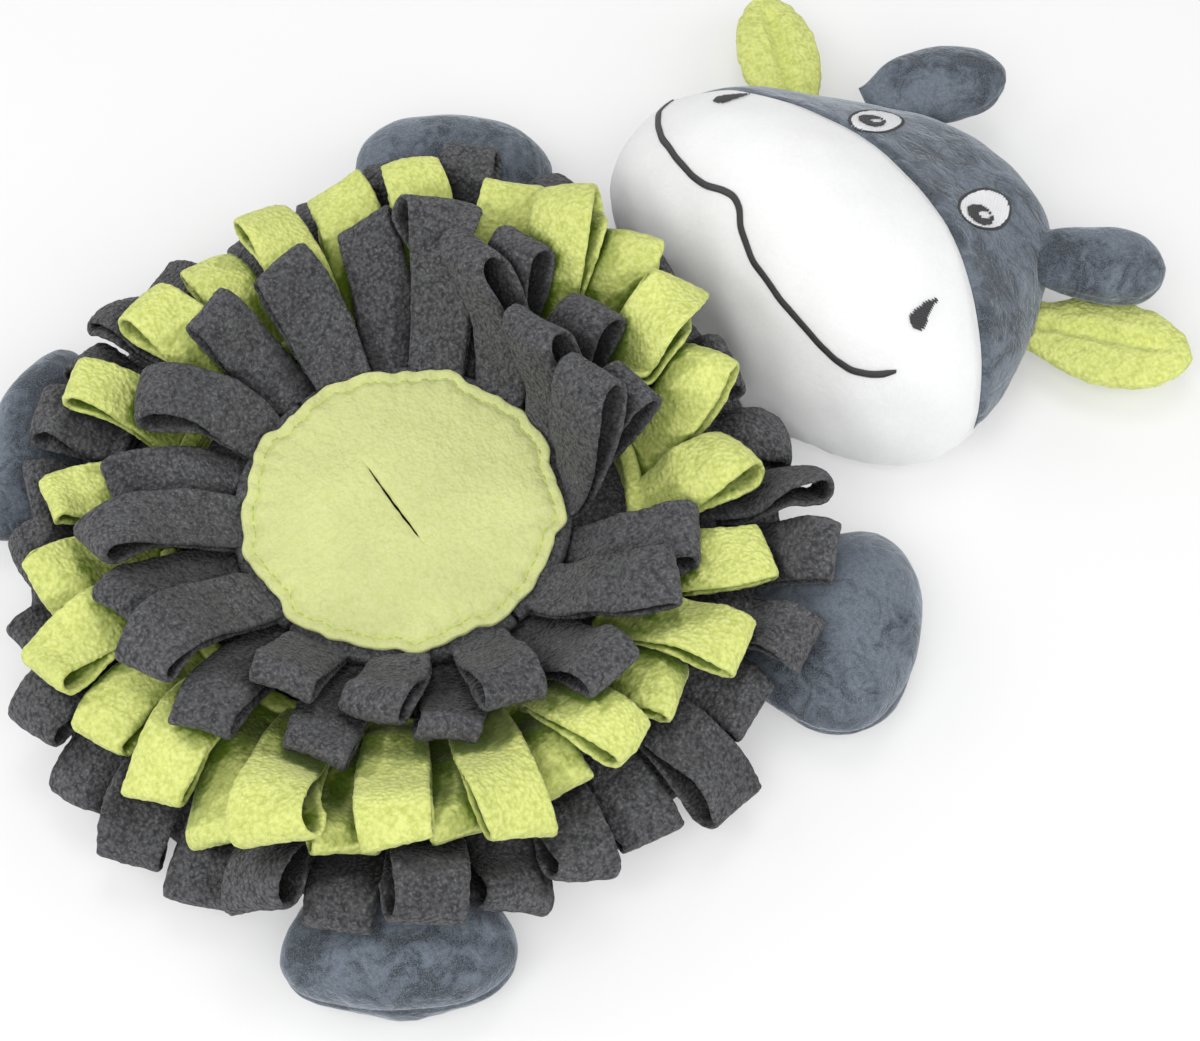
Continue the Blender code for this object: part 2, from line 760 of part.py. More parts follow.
def make_bands():
    """From the outer ring inwards, each row laid on those before it."""
    for ring in reversed(range(len(RINGS))):
        ring_name, root_radius, _, loops, colour = RINGS[ring]
        split = math.degrees(BAND_SPLIT / root_radius)
        floor = widened(height_map)
        for row, row_name in enumerate(("lower", "upper")):
            ceiling = widened(height_map)
            mine = loops[row::2]
            grids = []
            for loop in mine:
                rest = settled(ring, row, loop, floor, ceiling)
                grids.append(loop_surface(ring, loop, rest))
            for grid in grids:
                for side in grid_sides(grid, FLEECE):
                    lay_down(filled_in(side)[0])
            turns = np.linspace(0.0, 2.0 * math.pi, SEAM_SAMPLES)[:, None]
            radii = np.linspace(root_radius - HEADER, root_radius, FILL_ALONG)
            tops = header_level(radii, row) + ROW_THICK
            sewn = (radii * np.cos(turns), radii * np.sin(turns), tops + 0.0 * turns)
            lay_down(np.stack(sewn, axis=2))
            cuts = np.array_split(np.arange(len(mine)), BANDS_PER_ROW)
            for number, indices in enumerate(cuts):
                start, end = band_ends(mine, indices, split)
                name = f"{ring_name}_{row_name}_band_{number + 1}"
                band = piece(name, header_mesh(name, ring, row, start, end), colour)

                def build(shape, chosen=indices, rows=grids):
                    for index in chosen:
                        grid_faces(shape, rows[index])

                sheets = cutter(name + "_loops", mesh_from(name + "_loops", build))
                wall = sheets.modifiers.new("fleece", "SOLIDIFY")
                wall.thickness = FLEECE
                wall.offset = 0.0
                boolean(band, sheets, "UNION", folded=True)


def section_points(half_width, low, middle, high, around, power):
    """One section of a stuffed form, as pairs of sideways place and height."""
    points = []
    for step in range(around):
        turn = 2.0 * math.pi * step / around
        across, level = math.cos(turn), math.sin(turn)
        side = math.copysign(abs(across) ** (2.0 / power), across) * half_width
        reach = high - middle if level > 0.0 else middle - low
        height = middle + math.copysign(abs(level) ** (2.0 / power), level) * reach
        points.append((side, max(height, 0.0)))
    return points


def loft(shape, sections, ends):
    """A closed skin over rings of points, with a point at each end."""
    rings = [[shape.verts.new(point) for point in ring] for ring in sections]
    first, last = (shape.verts.new(point) for point in ends)
    count = len(rings[0])
    for before, after in zip(rings, rings[1:]):
        for i in range(count):
            j = (i + 1) % count
            shape.faces.new((before[i], before[j], after[j]))
            shape.faces.new((before[i], after[j], after[i]))
    for i in range(count):
        j = (i + 1) % count
        shape.faces.new((first, rings[0][j], rings[0][i]))
        shape.faces.new((last, rings[-1][i], rings[-1][j]))
    bmesh.ops.recalc_face_normals(shape, faces=shape.faces)


def inset(shape, amount):
    """Draws a closed skin in by an even wall."""
    shape.normal_update()
    moved = []
    for vert in shape.verts:
        factor = min(vert.calc_shell_factor(), SHARPEST_SHELL)
        moved.append(vert.co - vert.normal * amount * factor)
    for vert, place in zip(shape.verts, moved):
        vert.co = place


def head_middle(share):
    """How far to the right of the body's middle the head's middle line is."""
    return HEAD_LEAN * (share - LEAN_FROM_SHARE)


def head_section(share):
    half = HEAD_HALF_WIDTH * np.interp(share, table(HEAD_SHARES, 0), table(HEAD_SHARES, 1))
    high = HEAD_HEIGHT * np.interp(share, table(HEAD_SHARES, 0), table(HEAD_SHARES, 2))
    middle = min(SIDE_SEAM, 0.5 * high)
    return section_points(half, -SINK, middle, high, HEAD_AROUND, HEAD_POWER)


def head_mesh(name, amount, stations=HEAD_SHARES):
    def build(shape):
        sections = []
        for share, _, _ in stations[1:-1]:
            x, y = head_middle(share), HEAD_START_RADIUS + share * HEAD_LENGTH
            sections.append([(x + side, y, level) for side, level in head_section(share)])
        ends = []
        for share, _, height_share in (stations[0], stations[-1]):
            level = 0.5 * height_share * HEAD_HEIGHT
            y = HEAD_START_RADIUS + share * HEAD_LENGTH
            ends.append((head_middle(share), y, level))
        loft(shape, sections, ends)
        inset(shape, amount)

    return mesh_from(name, build)


def prism(name, outline, low, high):
    """An upright cutter over an outline in plan."""

    def build(shape):
        base = shape.faces.new([shape.verts.new((x, y, low)) for x, y in outline])
        grown = bmesh.ops.extrude_face_region(shape, geom=[base])["geom"]
        risen = [item for item in grown if isinstance(item, bmesh.types.BMVert)]
        bmesh.ops.translate(shape, verts=risen, vec=(0.0, 0.0, high - low))
        bmesh.ops.recalc_face_normals(shape, faces=shape.faces)

    return cutter(name, mesh_from(name, build, smooth=False))


def seam_line(shift):
    """The seam across the top of the head, between muzzle and crown."""
    wide = HEAD_HALF_WIDTH + OVERRUN
    line = []
    for step in range(SEAM_STEPS + 1):
        x = wide * (2.0 * step / SEAM_STEPS - 1.0)
        aside = (x - SEAM_OFFSET) / SEAM_HALF_SPAN
        line.append((x, SEAM_APEX + shift - SEAM_SAG * aside**2))
    return line


def make_head():
    """Three covers sewn along seams, drawn over the head's filling."""
    outside = head_mesh("head_outside", 0.0)
    inside = cutter("head_inside", head_mesh("head_inside", COVER))
    wide = HEAD_HALF_WIDTH + OVERRUN
    near, far = HEAD_START_RADIUS - OVERRUN, HEAD_START_RADIUS + HEAD_LENGTH + OVERRUN
    high = HEAD_HEIGHT + OVERRUN
    half_gap = 0.5 * FIT_GAP
    seam = SIDE_SEAM + half_gap
    front = seam_line(-half_gap) + [(wide, near), (-wide, near)]
    back = seam_line(half_gap) + [(wide, far), (-wide, far)]
    under = [(-wide, near), (wide, near), (wide, far), (-wide, far)]
    regions = (
        ("muzzle_cover", "white_fleece", prism("muzzle_region", front, seam, high)),
        ("crown_cover", "grey_plush", prism("crown_region", back, seam, high)),
        (
            "head_back_cover",
            "grey_plush",
            prism("under_region", under, -OVERRUN, SIDE_SEAM - half_gap),
        ),
    )
    for name, colour, region in regions:
        cover = piece(name, outside.copy(), colour)
        boolean(cover, inside, "DIFFERENCE")
        boolean(cover, region, "INTERSECT")
        boolean(cover, body_outline, "DIFFERENCE")
    fill = head_mesh("head_fill", COVER + FIT_GAP, HEAD_FILL_SHARES)
    filling = piece("head_stuffing", fill, "fibre_fill")
    boolean(filling, body_outline, "DIFFERENCE", folded=True)
    corners = [vert.co for vert in outside.vertices]
    surface = BVHTree.FromPolygons(corners, [face.vertices for face in outside.polygons])
    return cutter("head_outline", head_mesh("head_outline", -SEWN_GAP)), surface


def paw_mesh(name, place, amount):
    turn = math.radians(PAW_AZIMUTHS[place])
    length = PAW_LENGTH * PAW_LENGTH_SHARES[place]
    along = (math.cos(turn), math.sin(turn))

    def build(shape):
        sections = []
        ends = []
        for share, _, _ in PAW_SHARES:
            reach = PAW_START_RADIUS + share * length
            half, high = float(paw_half_width(share)), float(paw_height(share))
            if share in (0.0, 1.0):
                ends.append((reach * along[0], reach * along[1], 0.5 * high))
                continue
            ring = section_points(half, -SINK, PAW_SEAM, high, PAW_AROUND, PAW_POWER)
            sections.append(
                [
                    (reach * along[0] - s * along[1], reach * along[1] + s * along[0], z)
                    for s, z in ring
                ]
            )
        loft(shape, sections, ends)
        inset(shape, amount)

    return mesh_from(name, build)


def make_paws():
    for place in PAW_AZIMUTHS:
        cover = piece(f"paw_{place}_cover", paw_mesh("paw", place, 0.0), "grey_plush")
        inside = cutter(f"paw_{place}_inside", paw_mesh("paw_inside", place, COVER))
        boolean(cover, inside, "DIFFERENCE")
        boolean(cover, body_outline, "DIFFERENCE")
        fill = paw_mesh("paw_fill", place, COVER + FIT_GAP)
        stuffing = piece(f"paw_{place}_stuffing", fill, "fibre_fill")
        boolean(stuffing, body_outline, "DIFFERENCE", folded=True)


def limb_spine(start, heading_deg, bend_deg, length, share):
    """Place and heading along a limb that curves evenly in plan."""
    first = math.radians(heading_deg)
    swing = math.radians(bend_deg)
    radius = length / swing
    turn = first + swing * share
    x = start[0] + radius * (math.sin(turn) - math.sin(first))
    y = start[1] - radius * (math.cos(turn) - math.cos(first))
    return x, y, turn


def limb_mesh(name, place, shares, sizes, amount, split=None):
    """A horn or an ear, or only its upper or lower half."""
    length, half_width, height, around, crease = sizes
    x_share, y_share, heading, bend, level_share = place
    start = (x_share * HEAD_HALF_WIDTH, HEAD_START_RADIUS + y_share * HEAD_LENGTH)
    level = level_share * HEAD_HEIGHT

    def build(shape):
        sections = []
        ends = []
        for share, width_share, height_share in shares:
            x, y, turn = limb_spine(start, heading, bend, length, share)
            if width_share == 0.0:
                ends.append((x, y, level))
                continue
            half = half_width * width_share
            thick = 0.5 * height * height_share
            ring = section_points(half, level - thick, level, level + thick, around, LIMB_POWER)
            points = []
            for side, z in ring:
                shade = 1.0 - eased(abs(side) / (CREASE_SHARE * half))
                folded = crease * shade * height_share
                if z > level:
                    z -= float(folded)
                if split == "upper":
                    z = max(z, level + 0.5 * FIT_GAP)
                elif split == "lower":
                    z = min(z, level - 0.5 * FIT_GAP)
                points.append((x - side * math.sin(turn), y + side * math.cos(turn), z))
            sections.append(points)
        if split:
            shift = 0.5 * FIT_GAP * (1.0 if split == "upper" else -1.0)
            ends = [(x, y, z + shift) for x, y, z in ends]
        loft(shape, sections, ends)
        inset(shape, amount)

    return mesh_from(name, build)


def make_horns(head_outline):
    sizes = (HORN_LENGTH, HORN_HALF_WIDTH, HORN_HEIGHT, HORN_AROUND, 0.0)
    for side, place in HORN_PLACE_SHARES.items():
        outside = limb_mesh("horn", place, HORN_SHARES, sizes, 0.0)
        cover = piece(f"horn_{side}_cover", outside, "grey_plush")
        inside = cutter(
            f"horn_{side}_inside", limb_mesh("horn_inside", place, HORN_SHARES, sizes, COVER)
        )
        boolean(cover, inside, "DIFFERENCE")
        boolean(cover, head_outline, "DIFFERENCE")
        fill = limb_mesh("horn_fill", place, HORN_SHARES, sizes, COVER + FIT_GAP)
        stuffing = piece(f"horn_{side}_stuffing", fill, "fibre_fill")
        boolean(stuffing, head_outline, "DIFFERENCE")


def make_ears(head_outline):
    for side, place in EAR_PLACE_SHARES.items():
        for name, split, crease in (("front", "upper", EAR_CREASE), ("back", "lower", 0.0)):
            sizes = (EAR_LENGTH, EAR_HALF_WIDTH, EAR_HEIGHT, EAR_AROUND, crease)
            mesh = limb_mesh("ear", place, EAR_SHARES, sizes, 0.0, split)
            panel = piece(f"ear_{side}_{name}", mesh, "lime_fleece")
            boolean(panel, head_outline, "DIFFERENCE")


def patch(name, spokes, rings, place, thickness, colour, closed_middle=True):
    """A flat-lying piece: a fan of rings put in place by a function, with a wall."""

    def build(shape):
        rows = []
        for ring in rings:
            row = []
            for spoke in range(spokes):
                row.append(shape.verts.new(place(ring, 2.0 * math.pi * spoke / spokes)))
            rows.append(row)
        for before, after in zip(rows, rows[1:]):
            for i in range(spokes):
                j = (i + 1) % spokes
                shape.faces.new((before[i], after[i], after[j], before[j]))
        if closed_middle:
            middle = shape.verts.new(place(0.0, 0.0))
            for i in range(spokes):
                shape.faces.new((middle, rows[0][i], rows[0][(i + 1) % spokes]))

    obj = piece(name, mesh_from(name, build), colour)
    wall = obj.modifiers.new("wall", "SOLIDIFY")
    wall.thickness = thickness
    wall.offset = 1.0
    wall.use_even_offset = True
    return obj


def disc_level():
    return dome_height(INNER_ROOT_RADIUS - HEADER) + 2.0 * LAYER + 2.0 * FIT_GAP


def disc_edge(turn):
    waves = (share * math.sin(count * turn + shift) for count, share, shift in DISC_WAVE_SHARES)
    return DISC_RADIUS + DISC_WAVE * sum(waves)


def disc_point(share, turn):
    radius = share * disc_edge(turn)
    level = float(disc_level()) + DISC_CROWN * (1.0 - share * share)
    return radius * math.cos(turn), radius * math.sin(turn), level


def make_disc():
    disc = patch("treat_disc", DISC_SPOKES, DISC_RING_SHARES, disc_point, FLEECE, "lime_fleece")
    turn = math.radians(SLIT_AZIMUTH)
    outline = []
    for step in range(SLIT_STEPS):
        angle = 2.0 * math.pi * step / SLIT_STEPS
        along = 0.5 * SLIT_LENGTH * math.cos(angle)
        aside = 0.5 * SLIT_WIDTH * math.sin(angle)
        outline.append(
            (
                SLIT_MIDDLE[0] + along * math.cos(turn) - aside * math.sin(turn),
                SLIT_MIDDLE[1] + along * math.sin(turn) + aside * math.cos(turn),
            )
        )
    slit = prism("slit", outline, 0.0, float(disc_level()) + OVERRUN)
    boolean(disc, slit, "DIFFERENCE")
    thread_ring()


def tube(name, points, radius, cyclic, colour):
    curve = bpy.data.curves.new(name, "CURVE")
    curve.dimensions = "3D"
    curve.bevel_depth = radius
    curve.bevel_resolution = 0
    curve.use_fill_caps = True
    spline = curve.splines.new("POLY")
    spline.points.add(len(points) - 1)
    for point, place in zip(spline.points, points):
        point.co = (*place, 1.0)
    spline.use_cyclic_u = cyclic
    return piece(name, curve, colour)


def thread_ring():
    points = []
    for spoke in range(DISC_SPOKES):
        turn = 2.0 * math.pi * spoke / DISC_SPOKES
        share = 1.0 - DISC_SEAM_INSET / disc_edge(turn)
        x, y, z = disc_point(share, turn)
        points.append((x, y, z + FLEECE + FIT_GAP + DISC_THREAD_RADIUS))
    tube("disc_seam_thread", points, DISC_THREAD_RADIUS, True, "lime_thread")


def pivot(name, frame, carried):
    """An empty on a joint's axis, its X along the axis, that carries what turns."""
    empty = bpy.data.objects.new(name, None)
    empty.matrix_world = frame
    TOY.objects.link(empty)
    for obj in carried:
        obj.parent = empty
        obj.matrix_parent_inverse = frame.inverted()
    return empty


def hinge_frame(x, y, z, axis_turn):
    return Matrix.Translation((x, y, z)) @ Matrix.Rotation(axis_turn, 4, "Z")


def leaving_point(place, length):
    """Where a horn's or ear's middle line comes out of the head, and its heading."""
    x_share, y_share, heading, bend, level_share = place
    start = (x_share * HEAD_HALF_WIDTH, HEAD_START_RADIUS + y_share * HEAD_LENGTH)
    level = level_share * HEAD_HEIGHT
    for share in np.linspace(0.0, 1.0, SEAM_SAMPLES):
        x, y, turn = limb_spine(start, heading, bend, length, float(share))
        point = Vector((x, y, level))
        near, normal, _, _ = head_surface.find_nearest(point)
        if (point - near).dot(normal) > 0.0:
            break
    return x, y, level, turn


def add_pivots():
    pieces = {obj.name: obj for obj in TOY.objects}
    carried = [obj for name, obj in pieces.items() if name.startswith(HEAD_NAMES)]
    limbs = (
        ("horn", HORN_PLACE_SHARES, HORN_LENGTH),
        ("ear", EAR_PLACE_SHARES, EAR_LENGTH),
    )
    for kind, places, length in limbs:
        for side, place in places.items():
            x, y, z, turn = leaving_point(place, length)
            own = [obj for name, obj in pieces.items() if name.startswith(f"{kind}_{side}_")]
            frame = hinge_frame(x, y, z, turn + 0.5 * math.pi)
            carried.append(pivot(f"{kind}_{side}_joint", frame, own))
    pivot("neck_joint", hinge_frame(0.0, NECK_HINGE_RADIUS, 0.0, math.pi), carried)
    for place, azimuth in PAW_AZIMUTHS.items():
        turn = math.radians(azimuth)
        x, y = PAW_HINGE_RADIUS * math.cos(turn), PAW_HINGE_RADIUS * math.sin(turn)
        own = [obj for name, obj in pieces.items() if name.startswith(f"paw_{place}_")]
        pivot(f"paw_{place}_joint", hinge_frame(x, y, 0.0, turn + 0.5 * math.pi), own)


def on_head(x, y, lift):
    """The point this far off the head's upper face, over a place in plan."""
    above = Vector((x, y, HEAD_HEIGHT + OVERRUN))
    place, normal, _, _ = head_surface.ray_cast(above, Vector((0.0, 0.0, -1.0)))
    return place + lift * normal


def head_place(x_share, y_share):
    return x_share * HEAD_HALF_WIDTH, HEAD_START_RADIUS + y_share * HEAD_LENGTH


def make_face():
    corners = np.array([head_place(*share) for share in MOUTH_SHARES])
    runs = np.hypot(*np.diff(corners, axis=0).T)
    marks = np.concatenate(([0.0], np.cumsum(runs)))
    points = []
    for mark in np.linspace(0.0, marks[-1], MOUTH_POINTS):
        x, y = (float(np.interp(mark, marks, corners[:, axis])) for axis in (0, 1))
        points.append(on_head(x, y, THREAD_RADIUS + 2.0 * FIT_GAP))
    tube("mouth_thread", points, THREAD_RADIUS, False, "black_thread")
    for side in EYE_SHARES:
        make_eye(side)
        make_nostril(side)


def turned_place(middle, heading, along, aside):
    """A point this far along and aside of a heading, from a middle point in plan."""
    x = middle[0] + along * math.cos(heading) - aside * math.sin(heading)
    y = middle[1] + along * math.sin(heading) + aside * math.cos(heading)
    return x, y


def make_eye(side):
    middle = head_place(*EYE_SHARES[side])
    heading = math.radians(EYE_TURN)

    def oval_point(margin, share, turn, lift):
        along = share * (0.5 * EYE_LENGTH - margin) * math.cos(turn)
        aside = share * (0.5 * EYE_WIDTH - margin) * math.sin(turn)
        return on_head(*turned_place(middle, heading, along, aside), lift)

    def white_place(share, turn):
        return oval_point(EYE_LINE + FIT_GAP, share, turn, PATCH_LIFT)

    def line_place(share, turn):
        return oval_point(EYE_LINE * (1.0 - share), 1.0, turn, PATCH_LIFT)

    patch(
        f"eye_{side}_white",
        PATCH_SPOKES,
        PATCH_RING_SHARES,
        white_place,
        STITCH_THICK,
        "white_thread",
    )
    patch(
        f"eye_{side}_outline",
        PATCH_SPOKES,
        (0.0, 1.0),
        line_place,
        STITCH_THICK,
        "black_thread",
        closed_middle=False,
    )
    pupil_x = middle[0] + PUPIL_SHARES[side][0] * EYE_WIDTH
    pupil_y = middle[1] + PUPIL_SHARES[side][1] * EYE_LENGTH

    def pupil_place(share, turn):
        x = pupil_x + share * PUPIL_RADIUS * math.cos(turn)
        y = pupil_y + share * PUPIL_RADIUS * math.sin(turn)
        return on_head(x, y, 2.0 * PATCH_LIFT + STITCH_THICK)

    patch(
        f"eye_{side}_pupil",
        PATCH_SPOKES // 2,
        (1.0,),
        pupil_place,
        STITCH_THICK,
        "black_thread",
    )


def make_nostril(side):
    middle = head_place(*NOSTRIL_SHARES[side])
    heading = math.radians(NOSTRIL_TURN if side == "right" else 180.0 - NOSTRIL_TURN)

    def place(share, turn):
        along = 0.5 * NOSTRIL_LENGTH * share * math.cos(turn)
        fullness = 1.0 - 0.5 * (1.0 + math.cos(turn)) * NOSTRIL_POINT_SHARE
        aside = 0.5 * NOSTRIL_WIDTH * share * math.sin(turn) * fullness
        return on_head(*turned_place(middle, heading, along, aside), PATCH_LIFT)

    patch(
        f"nostril_{side}",
        PATCH_SPOKES,
        PATCH_RING_SHARES,
        place,
        STITCH_THICK,
        "black_thread",
    )


make_cushion()
body_outline = body_cutter()
make_bands()
make_disc()
head_outline, head_surface = make_head()
make_paws()
make_horns(head_outline)
make_ears(head_outline)
make_face()
add_pivots()
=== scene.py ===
"""The looks of a plush snuffle toy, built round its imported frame: a round cushion
under three rings of fleece loops, a slit treat disc, a horned head and four paws.
"""

import math
from collections import namedtuple

import bmesh
import bpy
import numpy as np
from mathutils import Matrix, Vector
from mathutils.bvhtree import BVHTree


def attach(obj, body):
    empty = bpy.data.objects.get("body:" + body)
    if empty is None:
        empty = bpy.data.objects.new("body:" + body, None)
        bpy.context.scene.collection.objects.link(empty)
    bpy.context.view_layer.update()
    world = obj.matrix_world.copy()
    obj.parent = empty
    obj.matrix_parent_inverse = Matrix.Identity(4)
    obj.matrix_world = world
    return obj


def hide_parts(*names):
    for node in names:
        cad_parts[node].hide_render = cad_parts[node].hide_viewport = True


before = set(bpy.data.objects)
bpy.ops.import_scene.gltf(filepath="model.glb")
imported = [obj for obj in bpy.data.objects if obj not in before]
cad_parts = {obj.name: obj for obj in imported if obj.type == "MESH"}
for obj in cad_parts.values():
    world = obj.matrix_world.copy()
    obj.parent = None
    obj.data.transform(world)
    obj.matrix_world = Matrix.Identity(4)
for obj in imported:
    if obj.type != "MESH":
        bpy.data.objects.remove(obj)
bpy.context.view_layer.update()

# The body cushion, in metres
BODY_RADIUS = 0.143
BODY_HEIGHT = 0.031
RIM_HEIGHT = 0.013
FOOT_RADIUS = 0.126
DOME_POWER = 3.0
DOME_ROOT = 0.62
HANG_RADIUS = 0.133
HANG_SLOPE = 0.45
FIT_GAP = 0.0003
BODY_SPOKES = 160
RIM_PUCKER = 0.0007
PUCKER_REACH = 0.012
HOLLOW_DEPTH = 0.03

# How far a form reaches below the floor before it is flattened on it
FLOOR_SINK = 0.0005

# The floor of the picture: how far below the toy it lies, and its clearness
FLOOR_DROP = 0.0004
FLOOR_CLEARNESS = 0.35
FLOOR_REACH = 3.0

# The simulation that stuffs a cover
STUFFING_PRESSURE = 4.0
STUFFING_FRAMES = 20

# The fleece and its loops
FLEECE = 0.0026
LAYER = 0.0058
HEADER = 0.008
LOOP_WIDTH = 0.0250
ROOT_WIDTH = 0.0215
SHUT_GAP = 0.0042
WIDE_GAP = 0.0110
INNER_ROOT_RADIUS = 0.0635
MIDDLE_ROOT_RADIUS = 0.091
OUTER_ROOT_RADIUS = 0.117
INNER_REACH = 0.113
MIDDLE_REACH = 0.139
OUTER_REACH = 0.158
RUN_STEPS = 18
TIP_STEPS = 8
ACROSS_STEPS = 8
LOOP_CLEAR = 0.0004
SHUT_SPARE = 0.00015
RISE = 0.042
STAND_PUSH = 0.002
TIP_BACK = 0.0035
EDGE_SINK = 0.0006
HEADER_PRESS = 0.0030
CLOTH_SHARE = 0.93
WRINKLE = 0.0008
WRINKLE_LENGTH = 0.024
STIFFNESS = 22.0
MAP_CELL = 0.001
MAP_REACH = 0.206
# Painted shade in the folds of the loops: how far rays look for cloth, how fast the shade fades and its
# strength
FOLD_SHADE_REACH = 0.045
FOLD_SHADE_FALL = 0.020
FOLD_SHADE_GAIN = 1.80

# The treat disc
DISC_RADIUS = 0.0592
DISC_WAVES = ((9, 1.0, 0.0), (14, 0.6, 1.3), (23, 0.45, 0.7), (37, 0.30, 2.1))
DISC_WAVE = 0.0011
DISC_CROWN = 0.0015
SLIT_LENGTH = 0.040
SLIT_WIDTH = 0.0009
SLIT_AZIMUTH = -2.0
SLIT_MIDDLE = (-0.0025, -0.0020)
DISC_SEAM_INSET = 0.0044

# The head
HEAD_START_RADIUS = 0.124
HEAD_LENGTH = 0.173
HEAD_HALF_WIDTH = 0.102
HEAD_HEIGHT = 0.079
SIDE_SEAM = 0.012
MUZZLE_HEM = 0.0045
SEAM_APEX = 0.236
SEAM_SAG = 0.026
SEAM_HALF_SPAN = 0.080
SEAM_OFFSET = 0.005
HEAD_LEAN = 0.020
LEAN_FROM = 0.6
SEAM_GAP = 0.00015
REGION_SPARE = 0.04
HEAD_POWER = 2.3
HEAD_STATIONS = (
    (0.000, 0.00, 0.040),
    (0.035, 0.40, 0.090),
    (0.081, 0.50, 0.130),
    (0.142, 0.60, 0.170),
    (0.156, 0.67, 0.385),
    (0.182, 0.76, 0.605),
    (0.237, 0.86, 0.810),
    (0.324, 0.93, 0.945),
    (0.416, 0.95, 1.000),
    (0.517, 0.91, 0.960),
    (0.613, 0.825, 0.860),
    (0.711, 0.705, 0.735),
    (0.809, 0.570, 0.610),
    (0.896, 0.450, 0.530),
    (0.960, 0.315, 0.420),
    (0.985, 0.190, 0.300),
    (1.000, 0.00, 0.160),
)

# The paws
PAW_PLACES = {
    "front_right": (41.0, 1.00),
    "front_left": (139.5, 1.04),
    "rear_left": (217.0, 0.65),
    "rear_right": (325.0, 0.81),
}
PAW_START_RADIUS = 0.122
PAW_LENGTH = 0.075
PAW_HALF_WIDTH = 0.043
PAW_HEIGHT = 0.037
PAW_SEAM = 0.013
PAW_POWER = 2.4
PAW_CLEAR = 0.0012
PAW_STATIONS = (
    (0.00, 0.00, 0.36),
    (0.02, 0.52, 0.42),
    (0.20, 0.68, 0.56),
    (0.38, 0.84, 0.80),
    (0.58, 0.98, 0.98),
    (0.76, 0.97, 1.00),
    (0.90, 0.76, 0.86),
    (0.98, 0.40, 0.62),
    (1.00, 0.00, 0.36),
)

# Horns and ears: where each starts, in shares of the head's half width and
# length, its heading, how far it bends, and its height share
HORN_SIZES = {"right": (0.058, 0.0175, 0.024), "left": (0.061, 0.0185, 0.024)}
EAR_SIZES = {"right": (0.072, 0.0208, 0.0130), "left": (0.073, 0.0178, 0.0130)}
LIMB_POWER = 2.2
EAR_CREASE = 0.0052
CREASE_WIDTH = 0.26
CREASE_END = 0.93
HORN_PLACES = {
    "right": (0.440, 0.828, 49.0, -8.0, 0.36),
    "left": (-0.455, 0.812, 95.0, -55.0, 0.38),
}
EAR_PLACES = {
    "right": (0.593, 0.740, 37.0, 6.0, 0.19),
    "left": (-0.645, 0.692, 156.5, -4.0, 0.19),
}
HORN_STATIONS = (
    (0.00, 0.00, 0.00),
    (0.02, 0.72, 0.26),
    (0.16, 0.80, 0.40),
    (0.34, 0.92, 0.86),
    (0.60, 1.00, 1.00),
    (0.84, 0.82, 0.84),
    (0.97, 0.40, 0.42),
    (1.00, 0.00, 0.00),
)
EAR_STATIONS = (
    (0.00, 0.00, 0.00),
    (0.02, 0.46, 0.40),
    (0.16, 0.62, 0.46),
    (0.36, 0.92, 0.92),
    (0.60, 1.00, 1.00),
    (0.80, 0.82, 0.90),
    (0.95, 0.42, 0.60),
    (1.00, 0.00, 0.00),
)

# How thick each thread is, as a radius
DISC_THREAD = 0.00032
MOUTH_THREAD = 0.00038
SATIN_THREAD = 0.00030
OUTLINE_THREAD = 0.00028

# Embroidery on the face, with places in shares of the head's half width and length
EYE_LENGTH = 0.0300
EYE_WIDTH = 0.0180
EYE_TURN = 101.0
EYE_PLACES = {"right": (0.280, 0.770), "left": (-0.272, 0.717)}
PUPIL_PLACES = {"right": (0.12, -0.17), "left": (0.01, -0.10)}
NOSTRIL_PLACES = {"right": (0.569, 0.434), "left": (-0.634, 0.461)}
NOSTRIL_TURN = 110.0
MOUTH_LINE = (
    (-0.879, 0.402),
    (-0.859, 0.351),
    (-0.776, 0.311),
    (-0.687, 0.283),
    (-0.557, 0.264),
    (-0.443, 0.257),
    (-0.354, 0.259),
    (-0.291, 0.272),
    (-0.235, 0.280),
    (-0.180, 0.272),
    (-0.131, 0.250),
    (-0.002, 0.228),
    (0.183, 0.220),
    (0.402, 0.228),
    (0.479, 0.236),
    (0.552, 0.250),
    (0.604, 0.275),
    (0.640, 0.301),
    (0.659, 0.320),
)

# Each loop: where it is sewn and where its tip points, in degrees round the
# body, then shares of its ring's reach, of how far it stands up and of how
# wide open it is
Loop = namedtuple("Loop", "root tip reach rise open")
INNER_LOOPS = (
    (8, 8, 0.98, 0.10, 0.00),
    (23, 31, 0.95, 0.12, 0.00),
    (41, 44, 0.96, 0.05, 0.00),
    (60, 66, 0.78, 0.12, 0.60),
    (72, 77, 0.92, 0.00, 0.00),
    (84, 90, 0.78, 0.14, 0.60),
    (96, 101, 0.93, 0.00, 0.00),
    (108, 117, 0.80, 0.16, 0.75),
    (120, 122, 0.97, 0.00, 0.00),
    (134, 138, 1.02, 0.06, 0.00),
    (150, 152, 1.02, 0.05, 0.00),
    (167, 171, 0.95, 0.10, 0.00),
    (185, 189, 0.93, 0.00, 0.00),
    (203, 210, 0.92, 0.10, 0.00),
    (221, 232, 0.94, 0.00, 0.00),
    (238, 247, 0.98, 0.10, 0.00),
    (255, 262, 0.98, 0.00, 0.00),
    (270, 276, 1.02, 0.10, 0.00),
    (285, 290, 1.02, 0.00, 0.00),
    (298, 300, 0.82, 0.05, 0.00),
    (312, 311, 0.98, 0.00, 0.00),
    (325, 321, 0.84, 0.05, 0.00),
    (338, 336, 0.92, 0.00, 0.00),
    (353, 350, 0.88, 0.12, 0.00),
)
